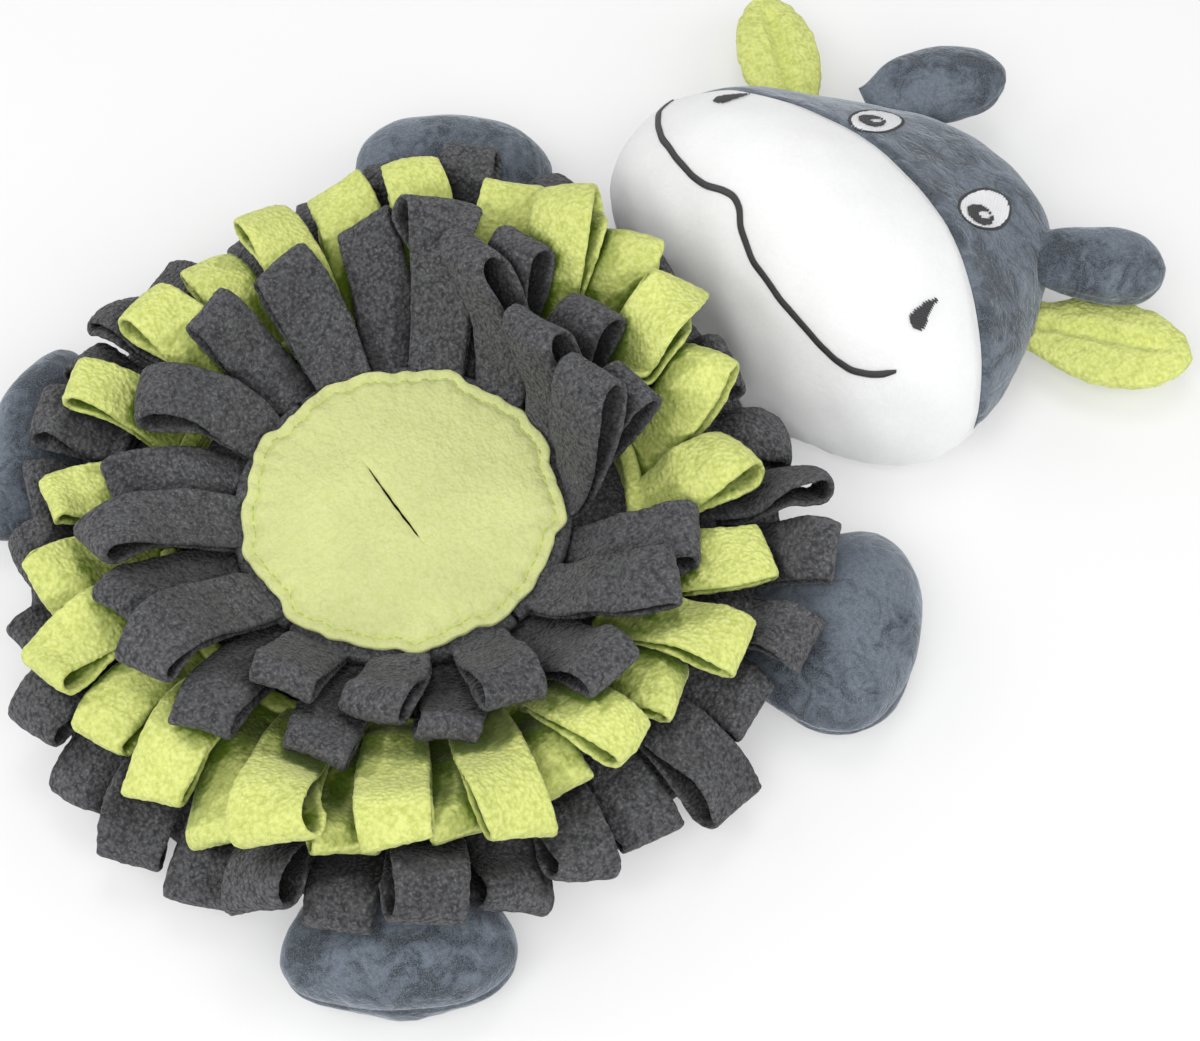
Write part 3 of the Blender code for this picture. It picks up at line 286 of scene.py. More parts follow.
MIDDLE_LOOPS = (
    (13, 16, 0.90, 0.00, 0.00),
    (26, 27, 0.98, 0.04, 0.00),
    (41, 46, 0.98, 0.05, 0.00),
    (56, 62, 0.92, 0.05, 0.45),
    (71, 79, 0.92, 0.08, 0.70),
    (85, 92, 0.94, 0.08, 0.85),
    (98, 104, 0.97, 0.03, 0.55),
    (111, 116, 0.98, 0.02, 0.60),
    (125, 127, 1.02, 0.05, 0.60),
    (140, 144, 1.08, 0.06, 0.00),
    (153, 156, 1.06, 0.08, 0.00),
    (166, 169, 1.00, 0.08, 0.00),
    (180, 180, 0.98, 0.00, 0.00),
    (194, 194, 0.96, 0.05, 0.00),
    (210, 212, 0.96, 0.00, 0.00),
    (228, 233, 0.94, 0.00, 0.00),
    (244, 249, 0.96, -0.02, 0.00),
    (258, 263, 1.02, 0.00, 0.00),
    (271, 275, 1.00, -0.04, 0.00),
    (284, 288, 1.02, 0.00, 0.00),
    (295, 299, 1.02, -0.04, 0.00),
    (305, 309, 1.02, 0.00, 0.00),
    (315, 318, 1.00, 0.00, 0.00),
    (325, 326, 1.02, 0.06, 0.00),
    (334, 335, 0.95, 0.00, 0.00),
    (343, 343, 1.02, 0.05, 0.00),
    (352, 352, 0.90, 0.00, 0.00),
    (360, 363, 0.94, 0.06, 0.00),
)
OUTER_LOOPS = (
    (2, 1, 0.96, 0.05, 0.00),
    (13, 12, 1.02, -0.10, 0.55),
    (24, 24, 0.94, 0.10, 0.00),
    (36, 34, 1.00, 0.10, 0.00),
    (48, 47, 1.02, 0.10, 0.00),
    (59, 59, 1.00, 0.10, 0.00),
    (71, 70, 0.94, 0.05, 0.00),
    (82, 81, 0.88, 0.05, 0.00),
    (93, 92, 0.88, 0.06, 0.00),
    (104, 103, 0.92, 0.08, 0.00),
    (115, 113, 0.97, 0.08, 0.00),
    (126, 121, 1.03, 0.16, 0.55),
    (137, 136, 1.04, 0.05, 0.00),
    (148, 147, 1.02, 0.10, 0.00),
    (160, 158, 0.99, 0.10, 0.00),
    (171, 170, 0.97, 0.00, 0.00),
    (183, 185, 0.99, 0.05, 0.00),
    (194, 196, 0.97, 0.00, 0.00),
    (205, 205, 0.92, 0.05, 0.00),
    (216, 217, 0.91, 0.00, 0.45),
    (227, 229, 0.89, 0.05, 0.00),
    (239, 241, 0.88, 0.00, 0.40),
    (250, 253, 0.92, 0.00, 0.00),
    (262, 265, 0.96, -0.12, 0.00),
    (273, 276, 0.98, -0.05, 0.00),
    (284, 287, 1.00, -0.14, 0.00),
    (296, 298, 1.00, 0.00, 0.00),
    (307, 308, 1.00, 0.05, 0.00),
    (318, 318, 1.02, 0.12, 0.00),
    (329, 329, 1.00, 0.08, 0.55),
    (341, 340, 0.98, 0.05, 0.00),
    (352, 350, 0.97, -0.10, 0.00),
)
BANDS_PER_ROW = 4

# Loops that stand up instead of lying down, by ring and root: where the tip is
# (degrees, radius, height), the way the strip faces there, its twist and how open
Standing = namedtuple("Standing", "tip radius height facing twist open")
STANDING = {
    (0, 60): Standing(75.0, 0.0750, 0.0745, 110.0, 8.0, 1.0),
    (0, 84): Standing(99.4, 0.0730, 0.0705, 118.0, 12.0, 0.75),
    (0, 108): Standing(126.0, 0.0905, 0.0680, 115.0, 16.0, 1.0),
    (0, 72): Standing(75.0, 0.0890, 0.0640, 108.0, 16.0, 0.7),
    (0, 96): Standing(98.0, 0.0970, 0.0560, 114.0, 18.0, 0.8),
    (0, 120): Standing(119.0, 0.1040, 0.0620, 114.0, 18.0, 0.8),
}
STANDING_MOOD = {"curl": -0.0010, "full": 1.0, "nose": 1.1, "twist": 0.0, "slip": 0.0010, "wide": 0.0}


# The camera, as fitted to the photograph
CAMERA_TARGET = Vector((0.042, 0.060, 0.030))
CAMERA_AZIMUTH = -36.3
CAMERA_ELEVATION = 61.4
CAMERA_DISTANCE = 0.900
CAMERA_LENS = 72.0


def make_camera():
    turn, tilt = math.radians(CAMERA_AZIMUTH), math.radians(CAMERA_ELEVATION)
    away = Vector((math.cos(tilt) * math.cos(turn), math.cos(tilt) * math.sin(turn), math.sin(tilt)))
    camera = bpy.data.objects.new("camera", bpy.data.cameras.new("camera"))
    camera.data.lens = CAMERA_LENS
    camera.data.sensor_width = 36.0
    camera.data.sensor_fit = "HORIZONTAL"
    camera.data.clip_end = 20.0
    camera.location = CAMERA_TARGET + CAMERA_DISTANCE * away
    camera.rotation_euler = (-away).to_track_quat("-Z", "Y").to_euler()
    bpy.context.scene.collection.objects.link(camera)
    bpy.context.scene.camera = camera


make_camera()


# Materials
class Net:
    """A material's node tree, with short ways to add and join nodes."""

    def __init__(self, name):
        self.material = bpy.data.materials.new(name)
        self.material.use_nodes = True
        self.tree = self.material.node_tree
        self.shader = self.tree.nodes["Principled BSDF"]
        self.place = self.add("ShaderNodeTexCoord").outputs["Object"]

    def add(self, kind, inputs=(), **settings):
        node = self.tree.nodes.new(kind)
        for key, value in settings.items():
            setattr(node, key, value)
        for key, value in dict(inputs).items():
            if isinstance(value, bpy.types.NodeSocket):
                self.tree.links.new(value, node.inputs[key])
            else:
                node.inputs[key].default_value = value
        return node

    def noise(self, scale, detail=2.0, distortion=0.0, roughness=0.5):
        inputs = {
            "Vector": self.place,
            "Scale": scale,
            "Detail": detail,
            "Roughness": roughness,
            "Distortion": distortion,
        }
        return self.add("ShaderNodeTexNoise", inputs).outputs["Fac"]

    def cells(self, scale, smooth):
        inputs = {"Vector": self.place, "Scale": scale, "Smoothness": smooth}
        made = self.add("ShaderNodeTexVoronoi", inputs, feature="SMOOTH_F1")
        return made.outputs["Distance"]

    def band(self, value, low, high, start=0.0, end=1.0):
        inputs = {"Value": value, "From Min": low, "From Max": high, "To Min": start, "To Max": end}
        return self.add("ShaderNodeMapRange", inputs, clamp=True).outputs["Result"]

    def pills(self, scale, smooth, warp):
        """Small soft balls of fibre, from 0 between them to 1 on top."""
        cells = self.band(self.cells(scale, smooth), 0.05, 0.75, 1.0, 0.0)
        clumps = self.band(self.noise(scale * 0.5, 2.0, distortion=warp), 0.3, 0.7)
        return self.math("ADD", self.math("MULTIPLY", cells, 0.65), self.math("MULTIPLY", clumps, 0.35))

    def shaded(self, colour, scale, deep, high):
        """A broad light and dark drift of the whole colour."""
        drift = self.band(self.noise(scale), 0.3, 0.7)
        shade = self.mix(drift, rgb(deep, deep, deep), rgb(high, high, high))
        return self.mix(1.0, colour, shade, "MULTIPLY")

    def painted_fold_shade(self, colour, fold_shade_colour):
        """Darkens the colour with painted shade where an attribute of the mesh says it lies between
        folds.
        """
        fold_shade = self.add("ShaderNodeAttribute", attribute_name="fold_shade").outputs["Fac"]
        return self.mix(fold_shade, colour, fold_shade_colour, "MULTIPLY")

    def mix(self, factor, first, second, blend="MIX"):
        node = self.add("ShaderNodeMix", data_type="RGBA", blend_type=blend)
        for key, value in ((0, factor), (6, first), (7, second)):
            if isinstance(value, bpy.types.NodeSocket):
                self.tree.links.new(value, node.inputs[key])
            else:
                node.inputs[key].default_value = value
        return node.outputs[2]

    def math(self, operation, first, second=0.0):
        node = self.add("ShaderNodeMath", {0: first, 1: second}, operation=operation)
        return node.outputs[0]

    def bump(self, height, distance, strength=1.0, below=None):
        inputs = {"Height": height, "Distance": distance, "Strength": strength}
        if below is not None:
            inputs["Normal"] = below
        return self.add("ShaderNodeBump", inputs).outputs["Normal"]

    def finish(self, colour, roughness, normal=None, sheen=0.0, sheen_roughness=0.5, tint=None):
        self.tree.links.new(colour, self.shader.inputs["Base Color"])
        if isinstance(roughness, bpy.types.NodeSocket):
            self.tree.links.new(roughness, self.shader.inputs["Roughness"])
        else:
            self.shader.inputs["Roughness"].default_value = roughness
        if normal is not None:
            self.tree.links.new(normal, self.shader.inputs["Normal"])
        self.shader.inputs["Specular IOR Level"].default_value = 0.25
        self.shader.inputs["Sheen Weight"].default_value = sheen
        self.shader.inputs["Sheen Roughness"].default_value = sheen_roughness
        if tint is not None:
            self.shader.inputs["Sheen Tint"].default_value = tint
        return self.material


def rgb(red, green, blue):
    return (red, green, blue, 1.0)


def pilled_fleece(name, deep, body, high, pill=620.0, lift=0.0010, sheen=0.2, tint=None):
    """Brushed fleece whose surface has balled into small soft pills."""
    net = Net(name)
    pills = net.pills(pill, 0.8, 0.5)
    fibres = net.noise(2600.0, 3.0, roughness=0.7)
    # Painted shade: the first colour lies between the pills, the body colour on their tops
    colour = net.mix(net.band(pills, 0.10, 0.65), deep, body)
    colour = net.mix(net.band(fibres, 0.42, 0.75), colour, high)
    colour = net.shaded(colour, 38.0, 0.93, 1.05)
    # Painted shade in the folds between the loops
    colour = net.painted_fold_shade(colour, rgb(0.14, 0.22, 0.02))
    normal = net.bump(pills, lift, 0.8)
    normal = net.bump(fibres, 0.00018, 0.6, normal)
    return net.finish(colour, 0.93, normal, sheen, 0.45, tint)


def heather_fleece(name):
    """Charcoal fleece: dark yarn with paler fibres through it, with painted shade between its pills and
    in the folds of its loops.
    """
    net = Net(name)
    pills = net.pills(600.0, 0.75, 0.8)
    speck = net.noise(900.0, 3.0, roughness=0.6)
    fibres = net.noise(3000.0, 2.0, roughness=0.7)
    # Painted shade: darker between the pills, paler on their tops
    colour = net.mix(net.band(pills, 0.20, 0.80), rgb(0.038, 0.038, 0.041), rgb(0.126, 0.127, 0.132))
    colour = net.mix(net.band(speck, 0.50, 0.70, 0.0, 0.6), colour, rgb(0.235, 0.237, 0.247))
    colour = net.shaded(colour, 30.0, 0.86, 1.10)
    # Painted shade in the folds between the loops
    colour = net.painted_fold_shade(colour, rgb(0.03, 0.03, 0.035))
    normal = net.bump(pills, 0.0026, 1.0)
    normal = net.bump(fibres, 0.0002, 0.7, normal)
    return net.finish(colour, 0.95, normal, 0.15, 0.5, rgb(0.80, 0.80, 0.82))


def crushed_plush(name):
    """Short dense pile that lies in light and dark patches."""
    net = Net(name)
    warped = net.noise(24.0, 3.0, distortion=1.4, roughness=0.55)
    streaks = net.noise(90.0, 3.0, distortion=1.8, roughness=0.65)
    patches = net.math("ADD", net.math("MULTIPLY", warped, 0.55), net.math("MULTIPLY", streaks, 0.45))
    fibres = net.noise(2300.0, 3.0, roughness=0.75)
    tufts = net.noise(620.0, 3.0, roughness=0.7)
    colour = net.mix(net.band(patches, 0.43, 0.56), rgb(0.014, 0.019, 0.028), rgb(0.138, 0.166, 0.205))
    colour = net.mix(net.band(tufts, 0.38, 0.66, 0.0, 0.5), colour, rgb(0.026, 0.032, 0.042))
    colour = net.mix(net.band(fibres, 0.40, 0.72, 0.0, 0.7), colour, rgb(0.245, 0.275, 0.315))
    normal = net.bump(patches, 0.0026, 0.8)
    normal = net.bump(tufts, 0.0006, 0.6, normal)
    normal = net.bump(fibres, 0.0003, 0.6, normal)
    return net.finish(colour, 0.88, normal, 0.9, 0.30, rgb(0.86, 0.92, 1.0))


def brushed_white(name):
    """Smooth brushed cloth, lit a little from inside by the white filling."""
    net = Net(name)
    tufts = net.noise(420.0, 3.0, distortion=0.8, roughness=0.6)
    fibres = net.noise(2400.0, 3.0, roughness=0.7)
    broad = net.noise(20.0, 2.0)
    colour = net.mix(net.band(tufts, 0.3, 0.7), rgb(0.845, 0.847, 0.852), rgb(0.880, 0.881, 0.883))
    colour = net.mix(net.band(broad, 0.35, 0.65, 0.0, 0.35), colour, rgb(0.830, 0.833, 0.842))
    normal = net.bump(tufts, 0.0005, 0.5)
    normal = net.bump(fibres, 0.0002, 0.5, normal)
    net.shader.inputs["Subsurface Weight"].default_value = 0.4
    net.shader.inputs["Subsurface Radius"].default_value = (1.0, 1.0, 1.0)
    net.shader.inputs["Subsurface Scale"].default_value = 0.02
    return net.finish(colour, 0.95, normal, 0.4, 0.5)


def plain_weave(name):
    """The dark cloth of the underside and the body's edge."""
    net = Net(name)
    yarn = {"Vector": net.place, "Scale": 420.0, "Distortion": 0.6, "Detail": 1.0}
    yarns = [net.add("ShaderNodeTexWave", yarn, bands_direction=way) for way in "XY"]
    weave = net.math("MAXIMUM", *(node.outputs["Fac"] for node in yarns))
    broad = net.noise(40.0, 3.0)
    colour = net.mix(weave, rgb(0.045, 0.047, 0.055), rgb(0.098, 0.101, 0.115))
    shade = net.mix(net.band(broad, 0.3, 0.7), rgb(0.85, 0.85, 0.87), rgb(1.1, 1.1, 1.1))
    colour = net.mix(1.0, colour, shade, "MULTIPLY")
    return net.finish(colour, 0.9, net.bump(weave, 0.0002, 0.6), 0.15, 0.5)


def satin_thread(name, deep, body, rough=0.45):
    """Shiny twisted thread."""
    net = Net(name)
    strands = net.noise(1400.0, 3.0, distortion=0.5, roughness=0.6)
    colour = net.mix(net.band(strands, 0.3, 0.7), deep, body)
    finished = net.finish(colour, net.band(strands, 0.2, 0.8, rough - 0.08, rough + 0.12),
                          net.bump(strands, 0.00012, 0.5), 0.1, 0.4)
    net.shader.inputs["Specular IOR Level"].default_value = 0.5
    return finished


# Each lime fleece's first colour is painted shade between its pills
LIME = pilled_fleece("lime_fleece", rgb(0.460, 0.520, 0.075), rgb(0.700, 0.757, 0.208),
                     rgb(0.750, 0.785, 0.380), tint=rgb(1.0, 1.0, 0.75))
LIME_FLAT = pilled_fleece("lime_disc_fleece", rgb(0.550, 0.590, 0.205), rgb(0.615, 0.655, 0.275),
                          rgb(0.665, 0.695, 0.360), pill=700.0, lift=0.0005, tint=rgb(1.0, 1.0, 0.8))
CHARCOAL = heather_fleece("charcoal_fleece")
PLUSH = crushed_plush("grey_plush")
WHITE = brushed_white("white_fleece")
SIDE = plain_weave("side_cloth")
BLACK_THREAD = satin_thread("black_thread", rgb(0.004, 0.004, 0.005), rgb(0.020, 0.020, 0.023))
WHITE_THREAD = satin_thread("white_thread", rgb(0.76, 0.76, 0.78), rgb(0.86, 0.86, 0.87), 0.40)
LIME_THREAD = satin_thread("lime_thread", rgb(0.33, 0.42, 0.05), rgb(0.55, 0.66, 0.12), 0.6)


# Shapes
def eased(value):
    clipped = np.clip(value, 0.0, 1.0)
    return clipped * clipped * (3.0 - 2.0 * clipped)


def waves(points, length, seed, count=10):
    """A smooth pattern from -1 to 1 over points, about this length from crest to crest."""
    pick = np.random.default_rng(seed)
    ways = pick.normal(size=(count, 3))
    ways /= np.linalg.norm(ways, axis=1, keepdims=True)
    lengths = length * pick.uniform(0.75, 1.5, count)
    phases = pick.uniform(0.0, 2.0 * math.pi, count)
    total = np.sin(points @ (ways / lengths[:, None]).T * 2.0 * math.pi + phases)
    return total.sum(axis=-1) / math.sqrt(count) * 0.7


def placed(name, data):
    """A new object in the scene."""
    obj = bpy.data.objects.new(name, data)
    bpy.context.scene.collection.objects.link(obj)
    return obj


def new_object(name, vertices, faces, material, smooth=True):
    """An object of its own mesh, smooth unless told otherwise."""
    mesh = bpy.data.meshes.new(name)
    mesh.from_pydata([tuple(map(float, v)) for v in vertices], [], [tuple(map(int, f)) for f in faces])
    mesh.validate()
    if smooth:
        mesh.shade_smooth()
    if material is not None:
        mesh.materials.append(material)
    return placed(name, mesh)


def points_of(obj):
    flat = np.zeros(len(obj.data.vertices) * 3)
    obj.data.vertices.foreach_get("co", flat)
    return flat.reshape(-1, 3)


def set_points(obj, points):
    obj.data.vertices.foreach_set("co", np.ascontiguousarray(points).ravel())
    obj.data.update()


def normals_of(obj):
    flat = np.zeros(len(obj.data.vertices) * 3)
    obj.data.vertices.foreach_get("normal", flat)
    return flat.reshape(-1, 3)


def pushed(obj, amount):
    """Moves each point along its normal by its own amount."""
    set_points(obj, points_of(obj) + normals_of(obj) * amount[:, None])


def softened(line):
    """A line with each inner value drawn halfway to the middle of its neighbours."""
    soft = line.copy()
    soft[1:-1] = 0.25 * line[:-2] + 0.5 * line[1:-1] + 0.25 * line[2:]
    return soft


def ridge(distance, reach):
    """1 on a line and less beside it, down to nothing past about twice the reach."""
    return np.exp(-(distance / reach) ** 2)


def faced_outwards(obj):
    shape = bmesh.new()
    shape.from_mesh(obj.data)
    bmesh.ops.recalc_face_normals(shape, faces=shape.faces)
    shape.to_mesh(obj.data)
    shape.free()


def worn_by(obj, body, slot, *nodes):
    """Puts a finished piece on its body and in the place of its nodes, whose parts it hides; the slot is
    not used.
    """
    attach(obj, body)
    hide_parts(*nodes)


def ring_points(radius, turns, level):
    """A level ring of points about the toy's axis."""
    return np.stack((radius * np.cos(turns), radius * np.sin(turns), level + 0.0 * turns), axis=-1)


def full_turn(count):
    return np.arange(count) * 2.0 * math.pi / count


def faces_between(rings, count):
    """Quads that join each ring of points to the next."""
    faces = []
    for k in range(rings - 1):
        for i in range(count):
            j = (i + 1) % count
            faces.append((k * count + i, k * count + j, (k + 1) * count + j, (k + 1) * count + i))
    return faces


def baked(obj):
    """Turns an object's modifiers into its mesh."""
    bpy.context.view_layer.update()
    evaluated = obj.evaluated_get(bpy.context.evaluated_depsgraph_get())
    mesh = bpy.data.meshes.new_from_object(evaluated)
    obj.modifiers.clear()
    old = obj.data
    obj.data = mesh
    mesh.name = obj.name
    bpy.data.meshes.remove(old)
    return obj


def remeshed(obj, voxel):
    modifier = obj.modifiers.new("even", "REMESH")
    modifier.mode = "VOXEL"
    modifier.voxel_size = voxel
    modifier.use_smooth_shade = True
    return baked(obj)


def subdivided(obj, levels=1):
    modifier = obj.modifiers.new("fine", "SUBSURF")
    modifier.levels = modifier.render_levels = levels
    return baked(obj)


def joined_shape(obj, other, operation, keep=False):
    modifier = obj.modifiers.new(operation.lower(), "BOOLEAN")
    modifier.operation = operation
    modifier.solver = "EXACT"
    modifier.object = other
    baked(obj)
    if not keep:
        bpy.data.objects.remove(other)
    return obj


def filled_out(obj, cap, voxel):
    """Stuffs a closed form: an even mesh swells under pressure, no further than the cap."""
    remeshed(obj, voxel)
    before = points_of(obj)
    cloth = obj.modifiers.new("stuffing", "CLOTH")
    cloth.settings.use_pressure = True
    cloth.settings.uniform_pressure_force = STUFFING_PRESSURE
    cloth.settings.effector_weights.gravity = 0.0
    cloth.settings.quality = 5
    cloth.settings.tension_stiffness = 12.0
    cloth.settings.compression_stiffness = 12.0
    cloth.settings.bending_stiffness = 0.6
    cloth.point_cache.frame_start = 1
    cloth.point_cache.frame_end = STUFFING_FRAMES
    scene = bpy.context.scene
    for step in range(1, STUFFING_FRAMES + 1):
        scene.frame_set(step)
    baked(obj)
    scene.frame_set(1)
    moved = points_of(obj) - before
    far = np.linalg.norm(moved, axis=1, keepdims=True)
    moved *= np.minimum(1.0, cap / np.maximum(far, 1e-9))
    set_points(obj, before + moved)
    return subdivided(obj)


def superellipse(half, low, middle, high, count, power):
    """A rounded section: how far aside and how high each of its points is."""
    turn = full_turn(count)
    across, level = np.cos(turn), np.sin(turn)
    side = np.sign(across) * np.abs(across) ** (2.0 / power) * half
    reach = np.where(level > 0.0, high - middle, middle - low)
    return side, middle + np.sign(level) * np.abs(level) ** (2.0 / power) * reach


def smooth_table(table, count):
    """Even stations through a table's rows, rounded at both ends."""
    rows = np.array(table)
    share = 0.5 - 0.5 * np.cos(np.linspace(0.0, math.pi, count))
    values = [np.interp(share, rows[:, 0], rows[:, i]) for i in (1, 2)]
    wide, tall = (softened(softened(line)) for line in values)
    return share, wide, tall


def lofted(name, sections, ends, material):
    """A closed skin over rings of points, with a point at each end."""
    count = len(sections[0])
    vertices = [point for ring in sections for point in ring] + list(ends)
    faces = faces_between(len(sections), count)
    first, last = len(vertices) - 2, len(vertices) - 1
    base = (len(sections) - 1) * count
    for i in range(count):
        j = (i + 1) % count
        faces.append((first, j, i))
        faces.append((last, base + i, base + j))
    obj = new_object(name, vertices, faces, material)
    faced_outwards(obj)
    return obj


def rest_on_floor(obj):
    points = points_of(obj)
    points[:, 2] = np.maximum(points[:, 2], 0.0)
    set_points(obj, points)


# The body cushion
def dome_height(radius):
    share = np.clip(np.asarray(radius) / BODY_RADIUS, 0.0, 1.0)
    fall = np.clip(1.0 - share**DOME_POWER, 1e-9, 1.0) ** DOME_ROOT
    return RIM_HEIGHT + (BODY_HEIGHT - RIM_HEIGHT) * fall


def cushion(name, profile, material, slot, *nodes):
    """A turned cover with soft puckers where it meets the rim seam."""
    radii, levels = np.array(profile).T
    turns = full_turn(BODY_SPOKES)
    rings = []
    for radius, level in zip(radii[:-1], levels[:-1]):
        near = ridge(radius - BODY_RADIUS, PUCKER_REACH)
        pucker = RIM_PUCKER * near * np.sin(46 * turns + 1.3 * np.sin(7 * turns))
        rings.append(ring_points(radius + pucker, turns, level))
    vertices = np.concatenate(rings + [np.array([[0.0, 0.0, levels[-1]]])])
    faces = faces_between(len(rings), BODY_SPOKES)
    base = (len(rings) - 1) * BODY_SPOKES
    for i in range(BODY_SPOKES):
        faces.append((base + i, base + (i + 1) % BODY_SPOKES, len(vertices) - 1))
    faces.append(tuple(reversed(range(BODY_SPOKES))))
    obj = new_object(name, vertices, faces, material)
    faced_outwards(obj)
    worn_by(obj, "body", slot, *nodes)


def make_body():
    top = [(BODY_RADIUS - 0.0006, RIM_HEIGHT + 0.0002)]
    for turn in np.linspace(0.0, 1.0, 26):
        radius = BODY_RADIUS * math.sin(0.5 * math.pi * (1.0 - turn)) ** 0.8
        top.append((radius * 0.9995, float(dome_height(radius)) + 0.0001))
    top[-1] = (0.0, BODY_HEIGHT)
    cushion("body_top", top, CHARCOAL, "charcoal_fleece", "body_top_cover", "body_stuffing")
    base = [(BODY_RADIUS - 0.0006, RIM_HEIGHT - 0.0002), (BODY_RADIUS, RIM_HEIGHT - 0.0012)]
    for turn in np.linspace(0.12, 1.0, 12):
        across = FOOT_RADIUS + (BODY_RADIUS - FOOT_RADIUS) * math.cos(0.5 * math.pi * turn)
        base.append((across, RIM_HEIGHT - RIM_HEIGHT * math.sin(0.5 * math.pi * turn)))
    base += [(FOOT_RADIUS * share, 0.0) for share in (0.8, 0.5, 0.25)] + [(0.0, 0.0)]
    cushion("body_base", base, SIDE, "side_cloth", "body_base_cover")


make_body()


# The stuffed paws
def body_hollow():
    """The cushion's outline with a small clearance, to cut what is sewn to its rim."""
    turns = full_turn(120)
    rings = [ring_points(BODY_RADIUS + FIT_GAP, turns, -HOLLOW_DEPTH)]
    for radius in BODY_RADIUS * np.linspace(1.0, 0.3, 18):
        reach = radius * (1.0 + FIT_GAP / BODY_RADIUS)
        rings.append(ring_points(reach, turns, float(dome_height(radius)) + FIT_GAP))
    ends = ((0.0, 0.0, -HOLLOW_DEPTH), (0.0, 0.0, BODY_HEIGHT + FIT_GAP))
    return lofted("body_hollow", rings, ends, None)


def make_paw(place, azimuth, stretch):
    turn = math.radians(azimuth)
    out = np.array((math.cos(turn), math.sin(turn)))
    share, wide, tall = smooth_table(PAW_STATIONS, 26)
    sections, ends = [], []
    for part, width_share, height_share in zip(share, wide, tall):
        reach = PAW_START_RADIUS + part * PAW_LENGTH * stretch
        high = PAW_HEIGHT * height_share
        if part in (share[0], share[-1]):
            ends.append((reach * out[0], reach * out[1], 0.5 * high))
            continue
        half = PAW_HALF_WIDTH * width_share
        side, level = superellipse(half, -FLOOR_SINK, PAW_SEAM, high, 28, PAW_POWER)
        sections.append(np.stack((reach * out[0] - side * out[1], reach * out[1] + side * out[0],
                                  np.maximum(level, 0.0)), axis=1))
    paw = lofted("paw_" + place, sections, ends, PLUSH)
    filled_out(paw, cap=0.003, voxel=0.004)
    subdivided(paw)
    points = points_of(paw)
    along = points[:, 0] * out[0] + points[:, 1] * out[1]
    pull = 0.0011 * ridge(points[:, 2] - PAW_SEAM, 0.0016) * eased((along - 0.15) / 0.02)
    normal = normals_of(paw)
    points -= normal * pull[:, None]
    points += normal * (0.0009 * waves(points, 0.026, 11 + int(azimuth)))[:, None]
    set_points(paw, points)
    rest_on_floor(paw)
    joined_shape(paw, HOLLOW, "DIFFERENCE", keep=True)
    worn_by(paw, "paw_" + place, "grey_plush", f"paw_{place}_cover", f"paw_{place}_stuffing")
    return paw


HOLLOW = body_hollow()
PAWS = [make_paw(place, *where) for place, where in PAW_PLACES.items()]


# The head
def seam_at(x):
    """Where the seam between muzzle and crown lies along the head."""
    return SEAM_APEX - SEAM_SAG * ((x - SEAM_OFFSET) / SEAM_HALF_SPAN) ** 2


def head_middle(share):
    """How far the head leans to one side at a share of its length."""
    return HEAD_LEAN * (share - LEAN_FROM)


def head_form():
    """The whole head in one skin, before its covers are cut from it."""
    share, wide, tall = smooth_table(HEAD_STATIONS, 60)
    sections, ends = [], []
    for part, width_share, height_share in zip(share, wide, tall):
        y = HEAD_START_RADIUS + part * HEAD_LENGTH
        high = HEAD_HEIGHT * height_share
        if part in (share[0], share[-1]):
            ends.append((head_middle(part), y, 0.5 * high))
            continue
        middle = min(SIDE_SEAM, 0.5 * high)
        half = HEAD_HALF_WIDTH * width_share
        side, level = superellipse(half, -FLOOR_SINK, middle, high, 64, HEAD_POWER)
        x = head_middle(part) + side
        sections.append(np.stack((x, y + 0.0 * side, np.maximum(level, 0.0)), axis=1))
    return lofted("head_form", sections, ends, WHITE)


def region(name, outline, low, high):
    """An upright block over an outline, to cut a cover from the head."""
    shape = bmesh.new()
    base = shape.faces.new([shape.verts.new((x, y, low)) for x, y in outline])
    grown = bmesh.ops.extrude_face_region(shape, geom=[base])["geom"]
    risen = [item for item in grown if isinstance(item, bmesh.types.BMVert)]
    bmesh.ops.translate(shape, verts=risen, vec=(0.0, 0.0, high - low))
    bmesh.ops.recalc_face_normals(shape, faces=shape.faces)
    mesh = bpy.data.meshes.new(name)
    shape.to_mesh(mesh)
    shape.free()
    return placed(name, mesh)


def make_head_shape():
    """The stuffed head, drawn in along its seams and cut to sit on the body's rim."""
    head = head_form()
    filled_out(head, cap=0.002, voxel=0.005)
    subdivided(head)
    points = points_of(head)
    slope = 2.0 * SEAM_SAG * (points[:, 0] - SEAM_OFFSET) / SEAM_HALF_SPAN**2
    across = np.abs(points[:, 1] - seam_at(points[:, 0])) / np.hypot(1.0, slope)
    on_top = eased((points[:, 2] - SIDE_SEAM) / 0.004)
    pull = 0.0016 * ridge(across, 0.0022) * on_top
    hem = np.where(points[:, 1] < seam_at(points[:, 0]), MUZZLE_HEM, SIDE_SEAM)
    pull += 0.0012 * ridge(points[:, 2] - hem, 0.0018)
    soft = 0.0011 * waves(points, 0.060, 21) + 0.0004 * waves(points, 0.020, 22)
    pushed(head, soft - pull)
    rest_on_floor(head)
    return joined_shape(head, HOLLOW, "DIFFERENCE", keep=True)


